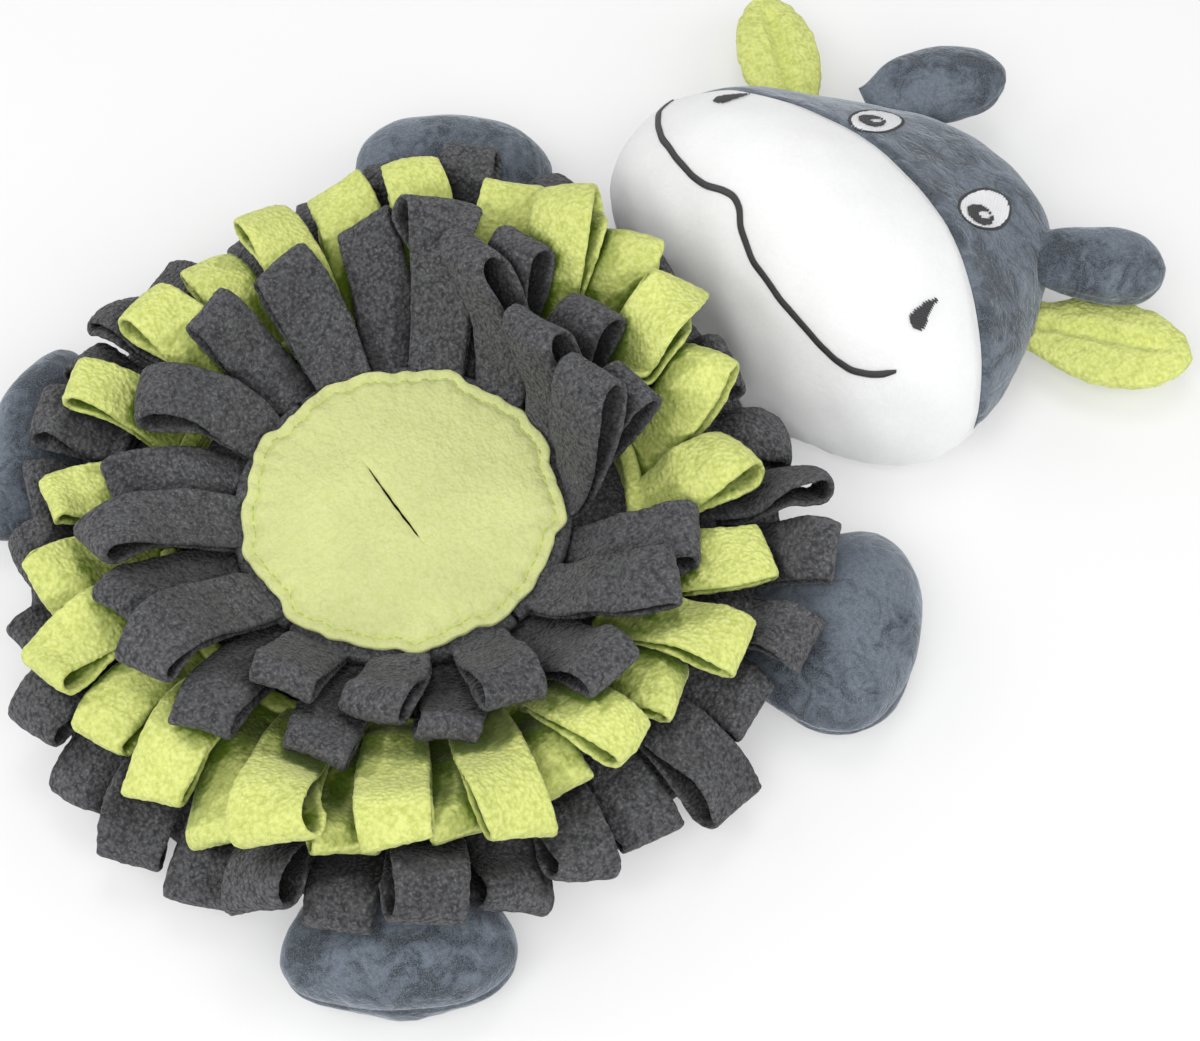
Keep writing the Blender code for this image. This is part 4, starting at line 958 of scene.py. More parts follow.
def make_head_covers():
    """The muzzle, the crown and the underside, each cut from the head with a seam's gap."""
    wide, high = HEAD_HALF_WIDTH + REGION_SPARE, HEAD_HEIGHT + REGION_SPARE
    near, far = HEAD_START_RADIUS - REGION_SPARE, HEAD_START_RADIUS + HEAD_LENGTH + REGION_SPARE
    line = np.linspace(-wide, wide, 61)
    front = [(x, seam_at(x) - SEAM_GAP) for x in line] + [(wide, near), (-wide, near)]
    back = [(x, seam_at(x) + SEAM_GAP) for x in line] + [(wide, far), (-wide, far)]
    under = [(-wide, near), (wide, near), (wide, far), (-wide, far)]
    for name, outline, low, top, material, slot, nodes in (
        ("muzzle", front, MUZZLE_HEM + SEAM_GAP, high, WHITE, "white_fleece",
         ("muzzle_cover", "head_stuffing")),
        ("crown", back, SIDE_SEAM + SEAM_GAP, high, PLUSH, "grey_plush", ("crown_cover",)),
        ("head_underside", under, -REGION_SPARE, SIDE_SEAM - SEAM_GAP, PLUSH, "grey_plush",
         ("head_back_cover",)),
    ):
        part = placed(name, HEAD.data.copy())
        joined_shape(part, region(name + "_region", outline, low, top), "INTERSECT")
        if name == "head_underside":
            joined_shape(part, region("muzzle_side", front, MUZZLE_HEM - SEAM_GAP, high), "DIFFERENCE")
        part.data.materials.clear()
        part.data.materials.append(material)
        part.data.polygons.foreach_set("material_index", [0] * len(part.data.polygons))
        part.data.shade_smooth()
        worn_by(part, "head", slot, *nodes)


HEAD = make_head_shape()
make_head_covers()


def surface_of(obj):
    mesh = obj.data
    return BVHTree.FromPolygons([v.co for v in mesh.vertices], [p.vertices for p in mesh.polygons])


HEAD_SURFACE = surface_of(HEAD)


# The horns and ears
def limb_spine(place, length, share):
    """A point of a horn's or ear's bent middle line, and its heading there."""
    x_share, y_share, heading, bend, level_share = place
    first, swing = math.radians(heading), math.radians(bend)
    radius, turn = length / swing, first + swing * share
    x = x_share * HEAD_HALF_WIDTH + radius * (math.sin(turn) - math.sin(first))
    y = HEAD_START_RADIUS + y_share * HEAD_LENGTH - radius * (math.cos(turn) - math.cos(first))
    return x, y, level_share * HEAD_HEIGHT, turn


def limb_form(name, place, size, stations, material, around=24, crease=0.0):
    """A horn or an ear round its middle line, with a crease pressed along its top."""
    length, half_width, height = size
    share, wide, tall = smooth_table(stations, 34)
    sections, ends = [], []
    for part, width_share, height_share in zip(share, wide, tall):
        x, y, level, turn = limb_spine(place, length, part)
        if part in (share[0], share[-1]):
            ends.append((x, y, level))
            continue
        thick = 0.5 * height * height_share
        reach = half_width * width_share
        side, z = superellipse(reach, level - thick, level, level + thick, around, LIMB_POWER)
        pressed = (1.0 - eased(np.abs(side) / (CREASE_WIDTH * reach))) * height_share
        z = np.where(z > level, z - crease * pressed * eased((CREASE_END - part) / 0.2), z)
        sections.append(np.stack((x - side * math.sin(turn), y + side * math.cos(turn), z), axis=1))
    return lofted(name, sections, ends, material)


def make_horn(side, place):
    horn = limb_form("horn_" + side, place, HORN_SIZES[side], HORN_STATIONS, PLUSH)
    filled_out(horn, cap=0.0015, voxel=0.003)
    points = points_of(horn)
    pull = 0.0009 * ridge(points[:, 2] - place[4] * HEAD_HEIGHT, 0.0014)
    pushed(horn, 0.0006 * waves(points, 0.018, 31) - pull)
    joined_shape(horn, HEAD, "DIFFERENCE", keep=True)
    worn_by(horn, "horn_" + side, "grey_plush", f"horn_{side}_cover", f"horn_{side}_stuffing")


def make_ear(side, place):
    ear = limb_form("ear_" + side, place, EAR_SIZES[side], EAR_STATIONS, LIME, 56, EAR_CREASE)
    subdivided(ear)
    points = points_of(ear)
    edge = 0.0004 * ridge(points[:, 2] - place[4] * HEAD_HEIGHT, 0.0009)
    pushed(ear, 0.0005 * waves(points, 0.006, 41) - edge)
    joined_shape(ear, HEAD, "DIFFERENCE", keep=True)
    worn_by(ear, "ear_" + side, "lime_fleece", f"ear_{side}_front", f"ear_{side}_back")


for limb_side, limb_place in HORN_PLACES.items():
    make_horn(limb_side, limb_place)
for limb_side, limb_place in EAR_PLACES.items():
    make_ear(limb_side, limb_place)


# The rings of loops, each row laid on what is already there
MAP_SIDE = np.arange(-MAP_REACH, MAP_REACH + 0.5 * MAP_CELL, MAP_CELL)
MAP_X, MAP_Y = np.meshgrid(MAP_SIDE, MAP_SIDE, indexing="ij")


def ground_height():
    """What loops come to lie on at each cell of the map: the cushion, its rim and the floor."""
    radius = np.hypot(MAP_X, MAP_Y)
    drop = dome_height(HANG_RADIUS) - HANG_SLOPE * (radius - HANG_RADIUS)
    ground = np.where(radius < HANG_RADIUS, dome_height(radius), np.maximum(drop, 0.0))
    return np.where(radius < BODY_RADIUS, np.maximum(ground, dome_height(radius)), ground)


height_map = ground_height()


def cells_of(points):
    """The map cells that points lie over."""
    last = len(MAP_SIDE) - 1
    return tuple(
        np.clip(np.rint((points[..., axis] + MAP_REACH) / MAP_CELL).astype(int), 0, last)
        for axis in (0, 1)
    )


def widened(heights):
    """The map with each cell as high as its highest neighbour."""
    result = heights
    for axis in (0, 1):
        result = np.maximum(result, np.maximum(np.roll(result, 1, axis), np.roll(result, -1, axis)))
    return result


def lay_down(points):
    """Raises the map to a piece that now lies there."""
    np.maximum.at(height_map, cells_of(points), points[..., 2])


for laid_paw in PAWS:
    lay_down(points_of(laid_paw) + np.array((0.0, 0.0, PAW_CLEAR)))

RINGS = (
    ("inner", INNER_ROOT_RADIUS, INNER_REACH, INNER_LOOPS, CHARCOAL, "charcoal_fleece"),
    ("middle", MIDDLE_ROOT_RADIUS, MIDDLE_REACH, MIDDLE_LOOPS, LIME, "lime_fleece"),
    ("outer", OUTER_ROOT_RADIUS, OUTER_REACH, OUTER_LOOPS, CHARCOAL, "charcoal_fleece"),
)


def header_level(radius, row):
    return dome_height(radius) + FIT_GAP + LAYER * row


def plan_of(ring, loop, mood):
    """The line of a loop in plan, its sideways direction and its width, at even stations."""
    root_radius, reach = RINGS[ring][1], RINGS[ring][2]
    standing = STANDING.get((ring, loop.root))
    root_turn = math.radians(loop.root)
    tip_turn, tip_radius = math.radians(loop.tip), reach * loop.reach - TIP_BACK
    if standing:
        tip_turn, tip_radius = math.radians(standing.tip), standing.radius
    outward = np.array((math.cos(root_turn), math.sin(root_turn)))
    start = (root_radius - HEADER) * outward
    end = tip_radius * np.array((math.cos(tip_turn), math.sin(tip_turn)))
    bend = start + 0.55 * np.linalg.norm(end - start) * outward
    share = np.linspace(0.0, 1.0, RUN_STEPS + 1)[:, None]
    plan = (1 - share) ** 2 * start + 2 * share * (1 - share) * bend + share**2 * end
    heading = (1 - share) * (bend - start) + share * (end - bend)
    heading /= np.linalg.norm(heading, axis=1, keepdims=True)
    if standing:
        facing = root_turn + (math.radians(standing.facing) - root_turn) * eased(share)
        heading = np.concatenate((np.cos(facing), np.sin(facing)), axis=1)
    aside = np.stack((-heading[:, 1], heading[:, 0]), axis=1)
    plan = plan + mood["bow"] * 4.0 * share * (1.0 - share) * aside
    width = ROOT_WIDTH + (LOOP_WIDTH + mood["wide"] - ROOT_WIDTH) * eased(share / 0.5)
    width = width * (1.0 - 0.07 * eased((share - 0.85) / 0.15))
    sewn = HEADER / np.linalg.norm(end - start)
    return plan, aside, width, share[:, 0], sewn, standing


def bridged(profile, spacing):
    """The line that stiff fleece takes over a profile, no more bent than it lets itself be."""
    """A stiff strip's line over a bumpy one: it spans hollows and bends softly."""
    place = np.arange(len(profile)) * spacing
    fall = STIFFNESS * (place[:, None] - place[None, :]) ** 2
    lifted = (profile[None, :] - fall).max(axis=1)
    closed = (lifted[None, :] + fall).min(axis=1)
    for _ in range(3):
        closed = np.maximum(softened(closed), profile)
    return closed


def unit(vectors):
    return vectors / np.linalg.norm(vectors, axis=-1, keepdims=True)


def loop_grid(ring, loop, rest, mood):
    """Middle surface of a loop: out along its lower run, round its tip and back."""
    plan, aside, width, share, sewn, standing = plan_of(ring, loop, mood)
    side = np.linspace(-0.5, 0.5, ACROSS_STEPS + 1)
    free = np.clip((share - sewn) / (1.0 - sewn), 0.0, 1.0)
    open_share = standing.open if standing else max(loop.open, mood["open"])
    gap_now = SHUT_GAP * mood["full"] + (WIDE_GAP - SHUT_GAP) * open_share
    swell_from = 0.45 * (1.0 - open_share) ** 2
    flat = 0.5 * FLEECE + SHUT_SPARE
    half = flat + (0.5 * (FLEECE + gap_now) - flat) * eased((free - swell_from) / (1.0 - swell_from))
    level = 0.5 * (rest[0] + rest[1]) + half + 0.5 * FLEECE
    middle = np.concatenate((plan, level[:, None]), axis=1)
    over = np.concatenate((width * aside, (rest[1] - rest[0])[:, None]), axis=1)
    forward = unit(np.gradient(middle, axis=0))
    wide = np.linalg.norm(over, axis=1, keepdims=True)
    up = unit(np.cross(forward, over))
    twist = -math.radians(mood["twist"] + (standing.twist if standing else 0.0)) * eased(free)[:, None]
    over = np.cos(twist) * over + np.sin(twist) * wide * up
    up = unit(np.cross(forward, over))
    across = unit(over)
    cup = mood["curl"] * 4.0 * side**2 - mood["curl"]
    centre = middle[:, None, :] + side[None, :, None] * over[:, None, :]
    centre += (cup[None, :] * eased(free / 0.4)[:, None])[..., None] * up[:, None, :]
    slip = (0.5 * mood["slip"] * eased(free))[:, None] * across
    lower = centre - (up * half[:, None] + slip)[:, None, :]
    upper = centre + (up * half[:, None] + slip)[:, None, :]
    turns = np.linspace(-0.5 * math.pi, 0.5 * math.pi, TIP_STEPS + 1)[1:-1, None]
    round_tip = half[-1] * (np.cos(turns) * forward[-1] * mood["nose"] + np.sin(turns) * up[-1])
    round_tip = round_tip + np.sin(turns) * slip[-1]
    tip = centre[-1][None, :, :] + round_tip[:, None, :]
    return np.concatenate((lower, tip, upper[::-1]), axis=0)


def grid_normals(grid):
    normal = np.cross(np.gradient(grid, axis=0), np.gradient(grid, axis=1))
    return normal / np.linalg.norm(normal, axis=2, keepdims=True)


def close_points(side, along=4, over=34):
    """Points spread closely over a grid, and how far down the grid each row of them is."""
    down = np.linspace(0.0, len(side) - 1.0, (len(side) - 1) * along + 1)
    first = np.minimum(down.astype(int), len(side) - 2)
    part = (down - first)[:, None, None]
    rows = (1 - part) * side[first] + part * side[first + 1]
    across = np.linspace(0.0, side.shape[1] - 1.0, over + 1)
    left = np.minimum(across.astype(int), side.shape[1] - 2)
    part = (across - left)[None, :, None]
    return (1 - part) * rows[:, left] + part * rows[:, left + 1], down


def settled(ring, row, loop, ceiling, mood):
    """How high each edge of a loop lies, at each station, clear of what is below."""
    plan, aside, width, share, sewn, standing = plan_of(ring, loop, mood)
    free = np.clip((share - sewn) / (1.0 - sewn), 0.0, 1.0)
    side = np.linspace(-0.5, 0.5, 15)
    left, right = slice(None, 9), slice(6, None)
    points = plan[:, None, :] + (width * side)[:, :, None] * aside[:, None, :]
    header = header_level(np.hypot(plan[:, 0], plan[:, 1]), row)
    held = share <= sewn
    need = ceiling[cells_of(points)] + LOOP_CLEAR
    need = np.where(held[:, None], header[:, None], need)
    spacing = float(np.linalg.norm(plan[1] - plan[0]))
    rise = RISE * loop.rise * free ** (1.3 if loop.rise > 0.0 else 2.6)
    rise += mood["arch"] * 1.9 * free**1.2 * (1.0 - free) ** 0.7
    droop = mood["droop"] * np.clip((free - 0.6) / 0.4, 0.0, 1.0) ** 2
    rest = []
    for edge in (left, right):
        floor = need[:, edge].max(axis=1)
        if standing:
            line = header + (standing.height - header) * free**0.9
        else:
            line = np.maximum(bridged(floor, spacing) + rise - droop, floor)
        line[held] = header[held]
        rest.append(line)
    most = [line + (STAND_PUSH if standing else 1.0) for line in rest]
    for _ in range(10):
        grid = loop_grid(ring, loop, rest, mood)
        hang = 0.5 * FLEECE * np.abs(grid_normals(grid)) * np.array((0.0, 0.0, 1.0))
        under, down = close_points(grid - hang)
        sunk = ceiling[cells_of(under)] + LOOP_CLEAR - under[..., 2]
        station = np.minimum(np.minimum(down, down[-1] - down), float(RUN_STEPS))
        worst = 0.0
        cut = sunk.shape[1] // 2
        for k, part in enumerate((sunk[:, : cut + 4], sunk[:, cut - 4 :])):
            push = np.zeros(RUN_STEPS + 1)
            amount = part.max(axis=1)
            for i in range(RUN_STEPS + 1):
                near = np.abs(station - i) < 1.0
                if not held[i] and near.any():
                    push[i] = max(0.0, amount[near].max())
            worst = max(worst, push.max())
            soft = np.maximum(push, 0.5 * np.maximum(np.roll(push, 1), np.roll(push, -1)))
            soft[held] = 0.0
            rest[k] = np.minimum(rest[k] + 0.7 * soft, most[k])
        if worst < 0.0001:
            break
    for k in (0, 1):
        line = softened(rest[k])
        line[1] = rest[k][1]
        rest[k] = np.maximum(line, rest[k] - EDGE_SINK)
    return rest


def band_ends(mine, indices):
    """Where a band's sewn edge starts and ends, halfway to the loops beside it."""
    before = mine[indices[0] - 1].root - (360 if indices[0] == 0 else 0)
    last = indices[-1] + 1
    after = mine[last % len(mine)].root + (360 if last == len(mine) else 0)
    return 0.5 * (before + mine[indices[0]].root), 0.5 * (after + mine[indices[-1]].root)


def header_grid(ring, row, start_deg, end_deg):
    """The sewn edge that joins a band's loops: a flat folded strip along an arc."""
    root = RINGS[ring][1]
    turns = np.radians(np.linspace(start_deg + 0.4, end_deg - 0.4, 24))
    across = (root - HEADER + 0.0006, root - 0.0035, root - 0.001)
    lower = [(radius, 0.0) for radius in across]
    upper = [(radius, LAYER - HEADER_PRESS) for radius in reversed(across)]
    level = {radius: float(header_level(radius, row)) + 0.5 * FLEECE for radius in across}
    return np.stack([ring_points(radius, turns, level[radius] + lift) for radius, lift in lower + upper])


def faces_of(grid, base):
    """A grid's quads, when its points start at this number."""
    high, wide = grid.shape[:2]
    corner = base + np.arange(high - 1)[:, None] * wide + np.arange(wide - 1)[None, :]
    return np.stack((corner, corner + wide, corner + wide + 1, corner + 1), axis=-1).reshape(-1, 4)


def mesh_of(grids):
    """The points and quads of several grids as one mesh."""
    starts = np.cumsum([0] + [grid.shape[0] * grid.shape[1] for grid in grids])
    vertices = np.concatenate([grid.reshape(-1, 3) for grid in grids])
    return vertices, np.concatenate([faces_of(grid, start) for grid, start in zip(grids, starts)])


def thickened(obj):
    """Gives a surface of fleece its thickness and rounded edges."""
    wall = obj.modifiers.new("fleece", "SOLIDIFY")
    wall.thickness = FLEECE * CLOTH_SHARE
    wall.offset = 0.0
    baked(obj)
    subdivided(obj)


def cloth_from(name, grids, material, seed):
    """One piece of fleece over several grids."""
    obj = new_object(name, *mesh_of(grids), material)
    thickened(obj)
    pushed(obj, 0.00024 * waves(points_of(obj), 0.0030, seed, 24))
    return obj


def loop_mood(pick):
    """How one strip differs from its neighbours."""
    return {
        "curl": float(pick.uniform(-0.0020, 0.0010)),
        "arch": float(pick.uniform(0.0015, 0.0070)),
        "droop": float(pick.uniform(0.0, 0.0060)),
        "full": float(pick.uniform(0.6, 1.8)),
        "nose": float(pick.uniform(0.9, 1.3)),
        "twist": float(pick.normal(0.0, 8.0)),
        "bow": float(pick.uniform(-0.0018, 0.0018)),
        "slip": float(pick.uniform(-0.0030, 0.0030)),
        "wide": float(pick.uniform(-0.0020, 0.0015)),
        "open": float(pick.uniform(-0.35, 0.50)),
    }


def mark_fold_shade(objects, grids):
    """Stores on each vertex the painted shade of its fold, from how close other cloth lies in front of
    it: 0 is free, 1 is touching.
    """
    vertices, faces = mesh_of(grids)
    cloth = BVHTree.FromPolygons(vertices.tolist(), faces.tolist())
    for obj in objects:
        points, normal = points_of(obj), normals_of(obj)
        beside = np.cross(normal, (0.0, 0.0, 1.0)) + 1e-6
        beside /= np.linalg.norm(beside, axis=1, keepdims=True)
        total = np.zeros(len(points))
        for lean in (-0.9, 0.0, 0.9):
            ways = unit(normal + lean * beside)
            starts = points + 0.0005 * ways
            for i, (start, way) in enumerate(zip(starts.tolist(), ways.tolist())):
                far = cloth.ray_cast(start, way, FOLD_SHADE_REACH)[3]
                if far is not None:
                    total[i] += math.exp(-far / FOLD_SHADE_FALL) / 3.0
        layer = obj.data.attributes.new("fold_shade", "FLOAT", "POINT")
        layer.data.foreach_set("value", np.clip(FOLD_SHADE_GAIN * total, 0.0, 1.0))


def lay_loop(ring, row, loop, pick):
    """Shapes one loop over what lies below it, and adds it to the map."""
    mood = loop_mood(pick)
    if (ring, loop.root) in STANDING:
        mood.update(STANDING_MOOD)
    rest = settled(ring, row, loop, widened(height_map), mood)
    grid = loop_grid(ring, loop, rest, mood)
    wrinkle = WRINKLE * waves(grid.reshape(-1, 3), WRINKLE_LENGTH, int(pick.integers(1 << 30)))
    grid = grid + grid_normals(grid) * wrinkle.reshape(grid.shape[:2])[..., None]
    lift = 0.5 * FLEECE * grid_normals(grid)
    for face in (grid + lift, grid - lift):
        lay_down(close_points(face)[0])
    return grid


def lay_header(root_radius, row):
    """Adds a row's sewn edge to the map, all round."""
    turns = np.linspace(0.0, 2.0 * math.pi, 720)[:, None]
    radii = np.linspace(root_radius - HEADER, root_radius, 9)
    lay_down(ring_points(radii, turns, header_level(radii, row) + LAYER - FIT_GAP))


def make_band(name, node, grids, material, slot, seed):
    """One band of loops with its sewn edge, the last of its grids."""
    obj = cloth_from(name, grids, material, seed)
    worn_by(obj, "body", slot, node)
    return obj


def make_loops():
    """All the rings, from the outer one in and from each lower row up, then the painted shade in their
    folds.
    """
    pick = np.random.default_rng(7)
    made, laid = [], []
    for ring in reversed(range(len(RINGS))):
        ring_name, root_radius, _, loops, material, slot = RINGS[ring]
        for row, row_name in enumerate(("lower", "upper")):
            mine = [Loop(*entry) for entry in loops[row::2]]
            standing_last = sorted(range(len(mine)), key=lambda i: (ring, mine[i].root) in STANDING)
            grids = {index: lay_loop(ring, row, mine[index], pick) for index in standing_last}
            lay_header(root_radius, row)
            for number, indices in enumerate(np.array_split(np.arange(len(mine)), BANDS_PER_ROW)):
                chosen = [grids[i] for i in indices]
                chosen.append(header_grid(ring, row, *band_ends(mine, indices)))
                names = [f"{ring_name}_{row_name}_{kind}_{number + 1}" for kind in ("loops", "band")]
                seed = 100 * ring + 10 * row + number
                made.append(make_band(*names, chosen, material, slot, seed))
                laid.extend(chosen)
    # Paints shade into the folds of every band
    mark_fold_shade(made, laid)


make_loops()


# The treat disc
def disc_level():
    """Where the disc lies on the two rows of the inner ring's sewn edge."""
    return float(dome_height(INNER_ROOT_RADIUS - HEADER)) + 2.0 * LAYER + 2.0 * FIT_GAP


def disc_edge(turn):
    """The radius of the disc's cut edge, which isn't quite round."""
    total = sum(share * np.sin(count * turn + shift) for count, share, shift in DISC_WAVES)
    return DISC_RADIUS + DISC_WAVE * total


def disc_surface(share, turn):
    """How high the disc's cloth lies, with its seam pressed in and puckers beside it."""
    edge = disc_edge(turn)
    radius = share * edge
    level = disc_level() + DISC_CROWN * (1.0 - share * share) + 0.5 * FLEECE
    inset = edge - radius - DISC_SEAM_INSET
    pucker = ridge(inset, 0.0055) * np.sin(38 * turn + 2.0 * np.sin(5 * turn))
    return level - 0.0015 * ridge(inset, 0.0015) + 0.0007 * pucker


def make_disc():
    """The slit disc, from the two lips of its slit out to its edge."""
    spokes, steps = 180, 44
    turns = full_turn(spokes)
    swing = math.radians(SLIT_AZIMUTH)
    along = 0.5 * SLIT_LENGTH * np.cos(turns - swing)
    aside = 0.5 * SLIT_WIDTH * np.sin(turns - swing)
    slit_x = SLIT_MIDDLE[0] + along * math.cos(swing) - aside * math.sin(swing)
    slit_y = SLIT_MIDDLE[1] + along * math.sin(swing) + aside * math.cos(swing)
    rings = []
    for part in np.linspace(0.0, 1.0, steps + 1):
        edge = disc_edge(turns)
        x = slit_x * (1.0 - part) + edge * np.cos(turns) * part
        y = slit_y * (1.0 - part) + edge * np.sin(turns) * part
        radius, angle = np.hypot(x, y), np.arctan2(y, x)
        ring = np.stack((x, y, disc_surface(radius / disc_edge(angle), angle)), axis=1)
        ring[:, 2] += 0.0005 * waves(ring, 0.028, 51) - 0.0006 * ridge(part, 0.03)
        rings.append(ring)
    faces = [face[::-1] for face in faces_between(steps + 1, spokes)]
    disc = new_object("disc", np.concatenate(rings), faces, LIME_FLAT)
    thickened(disc)
    pushed(disc, 0.00015 * waves(points_of(disc), 0.004, 52))
    worn_by(disc, "body", "lime_fleece", "treat_disc")
    return disc


DISC = make_disc()


# Stitches, laid by Geometry Nodes on points that carry their own directions
def stitch_tree():
    tree = bpy.data.node_groups.new("laid_stitches", "GeometryNodeTree")
    sockets = (("Geometry", "NodeSocketGeometry"), ("Thread Radius", "NodeSocketFloat"),
               ("Length Scale", "NodeSocketFloat"), ("Thread", "NodeSocketMaterial"))
    for name, kind in sockets:
        tree.interface.new_socket(name, in_out="INPUT", socket_type=kind)
    tree.interface.new_socket("Geometry", in_out="OUTPUT", socket_type="NodeSocketGeometry")

    def add(kind, **settings):
        node = tree.nodes.new(kind)
        for key, value in settings.items():
            setattr(node, key, value)
        return node

    def carried(name, kind):
        node = add("GeometryNodeInputNamedAttribute", data_type=kind)
        node.inputs["Name"].default_value = name
        return node.outputs["Attribute"]

    link = tree.links.new
    given, made = add("NodeGroupInput"), add("NodeGroupOutput")
    ball = add("GeometryNodeMeshUVSphere")
    ball.inputs["Segments"].default_value = 8
    ball.inputs["Rings"].default_value = 6
    ball.inputs["Radius"].default_value = 1.0
    first = add("FunctionNodeAlignRotationToVector", axis="Z")
    link(carried("out", "FLOAT_VECTOR"), first.inputs["Vector"])
    second = add("FunctionNodeAlignRotationToVector", axis="X", pivot_axis="Z")
    link(first.outputs["Rotation"], second.inputs["Rotation"])
    link(carried("along", "FLOAT_VECTOR"), second.inputs["Vector"])
    half = add("ShaderNodeMath", operation="MULTIPLY")
    link(carried("length", "FLOAT"), half.inputs[0])
    link(given.outputs["Length Scale"], half.inputs[1])
    flat = add("ShaderNodeMath", operation="MULTIPLY")
    flat.inputs[1].default_value = 0.75
    link(given.outputs["Thread Radius"], flat.inputs[0])
    size = add("ShaderNodeCombineXYZ")
    link(half.outputs[0], size.inputs["X"])
    link(given.outputs["Thread Radius"], size.inputs["Y"])
    link(flat.outputs[0], size.inputs["Z"])
    place = add("GeometryNodeInstanceOnPoints")
    link(given.outputs["Geometry"], place.inputs["Points"])
    link(ball.outputs["Mesh"], place.inputs["Instance"])
    link(second.outputs["Rotation"], place.inputs["Rotation"])
    link(size.outputs["Vector"], place.inputs["Scale"])
    real = add("GeometryNodeRealizeInstances")
    link(place.outputs["Instances"], real.inputs["Geometry"])
    smooth = add("GeometryNodeSetShadeSmooth")
    link(real.outputs["Geometry"], smooth.inputs["Geometry"])
    dyed = add("GeometryNodeSetMaterial")
    link(smooth.outputs["Geometry"], dyed.inputs["Geometry"])
    link(given.outputs["Thread"], dyed.inputs["Material"])
    link(dyed.outputs["Geometry"], made.inputs["Geometry"])
    return tree


STITCHES = stitch_tree()


def stitched(name, threads, radius, material):
    """Lays threads, each given by its place, the way it runs, the way it faces and its length."""
    places, along, out, lengths = zip(*threads)
    mesh = bpy.data.meshes.new(name)
    mesh.from_pydata([tuple(map(float, p)) for p in places], [], [])
    for key, values in (("along", along), ("out", out)):
        layer = mesh.attributes.new(key, "FLOAT_VECTOR", "POINT")
        layer.data.foreach_set("vector", np.asarray(values, float).ravel())
    layer = mesh.attributes.new("length", "FLOAT", "POINT")
    layer.data.foreach_set("value", np.asarray(lengths, float))
    obj = placed(name, mesh)
    modifier = obj.modifiers.new("stitches", "NODES")
    modifier.node_group = STITCHES
    wanted = {"Thread Radius": radius, "Length Scale": 0.5, "Thread": material}
    for item in STITCHES.interface.items_tree:
        if item.in_out == "INPUT" and item.name in wanted:
            modifier[item.identifier] = wanted[item.name]
    return baked(obj)


def on_surface(surface, x, y, lift):
    """The place on a surface under a point in plan, this far off it, and its normal."""
    place, normal, _, _ = surface.ray_cast(Vector((x, y, 0.2)), Vector((0.0, 0.0, -1.0)))
    return place + lift * normal, normal


def make_disc_stitches():
    """The seam of yellow-green thread round the disc."""
    surface = surface_of(DISC)
    threads = []
    for turn in full_turn(92).tolist():
        ahead = turn + 0.01
        here = disc_edge(turn) - DISC_SEAM_INSET
        there = disc_edge(ahead) - DISC_SEAM_INSET
        place, normal = on_surface(surface, here * math.cos(turn), here * math.sin(turn), 0.0001)
        way = Vector((there * math.cos(ahead), there * math.sin(ahead), place.z)) - place
        threads.append((place, way.normalized(), normal, 0.0029))
    thread = stitched("disc_stitches", threads, DISC_THREAD, LIME_THREAD)
    worn_by(thread, "body", "lime_thread", "disc_seam_thread")


make_disc_stitches()


# The embroidered face
def head_place(x_share, y_share):
    """A place on the head in plan, from shares of its half width and its length."""
    return x_share * HEAD_HALF_WIDTH, HEAD_START_RADIUS + y_share * HEAD_LENGTH


def even_path(points, spacing):
    """Points at this spacing along a line."""
    points = np.array(points)
    steps = np.linalg.norm(np.diff(points, axis=0), axis=1)
    reach = np.concatenate(([0.0], np.cumsum(steps)))
    count = max(2, int(reach[-1] / spacing))
    at = np.linspace(0.0, reach[-1], count)
    return np.stack([np.interp(at, reach, points[:, i]) for i in range(points.shape[1])], axis=1)


def make_mouth():
    """The stitched line of the mouth, with slanted stitches that shorten at its ends."""
    line = even_path([head_place(*share) for share in MOUTH_LINE], 0.0012)
    for _ in range(4):
        line = softened(line)
    on_skin = [tuple(on_surface(HEAD_SURFACE, float(x), float(y), 0.0)[0]) for x, y in line]
    path = even_path(on_skin, 0.00050)
    heading = np.gradient(path, axis=0)
    threads = []
    for k, (point, way) in enumerate(zip(path, heading)):
        place, normal = on_surface(HEAD_SURFACE, point[0], point[1], 0.0003)
        way = Vector(way).normalized()
        across = normal.cross(way).normalized()
        end = min(k, len(path) - 1 - k) / 8.0
        length = 0.0036 * (0.5 + 0.5 * min(1.0, end))
        threads.append((place, (across + 0.55 * way).normalized(), normal, length))
    mouth = stitched("mouth_stitches", threads, MOUTH_THREAD, BLACK_THREAD)
    worn_by(mouth, "head", "black_thread", "mouth_thread")


def satin_patch(name, inside, centre, half, way_deg, lift, material, pitch=0.00042, tuck=0.0022):
    """Parallel threads laid over a shape on the head; inside(x, y) says where."""
    turn = math.radians(way_deg)
    way = np.array((math.cos(turn), math.sin(turn)))
    aside = np.array((-way[1], way[0]))
    threads = []
    shift = 0
    for v in np.arange(-half, half, pitch):
        shift = (shift + 1) % 3
        u = -half + shift * tuck / 3.0
        while u < half:
            spot = np.array(centre) + u * way + v * aside
            if inside(*(spot - centre)):
                place, normal = on_surface(HEAD_SURFACE, *spot, lift)
                ahead, _ = on_surface(HEAD_SURFACE, *(spot + 0.0005 * way), lift)
                threads.append((place, (ahead - place).normalized(), normal, tuck * 1.35))
            u += tuck
    return stitched(name, threads, SATIN_THREAD, material)


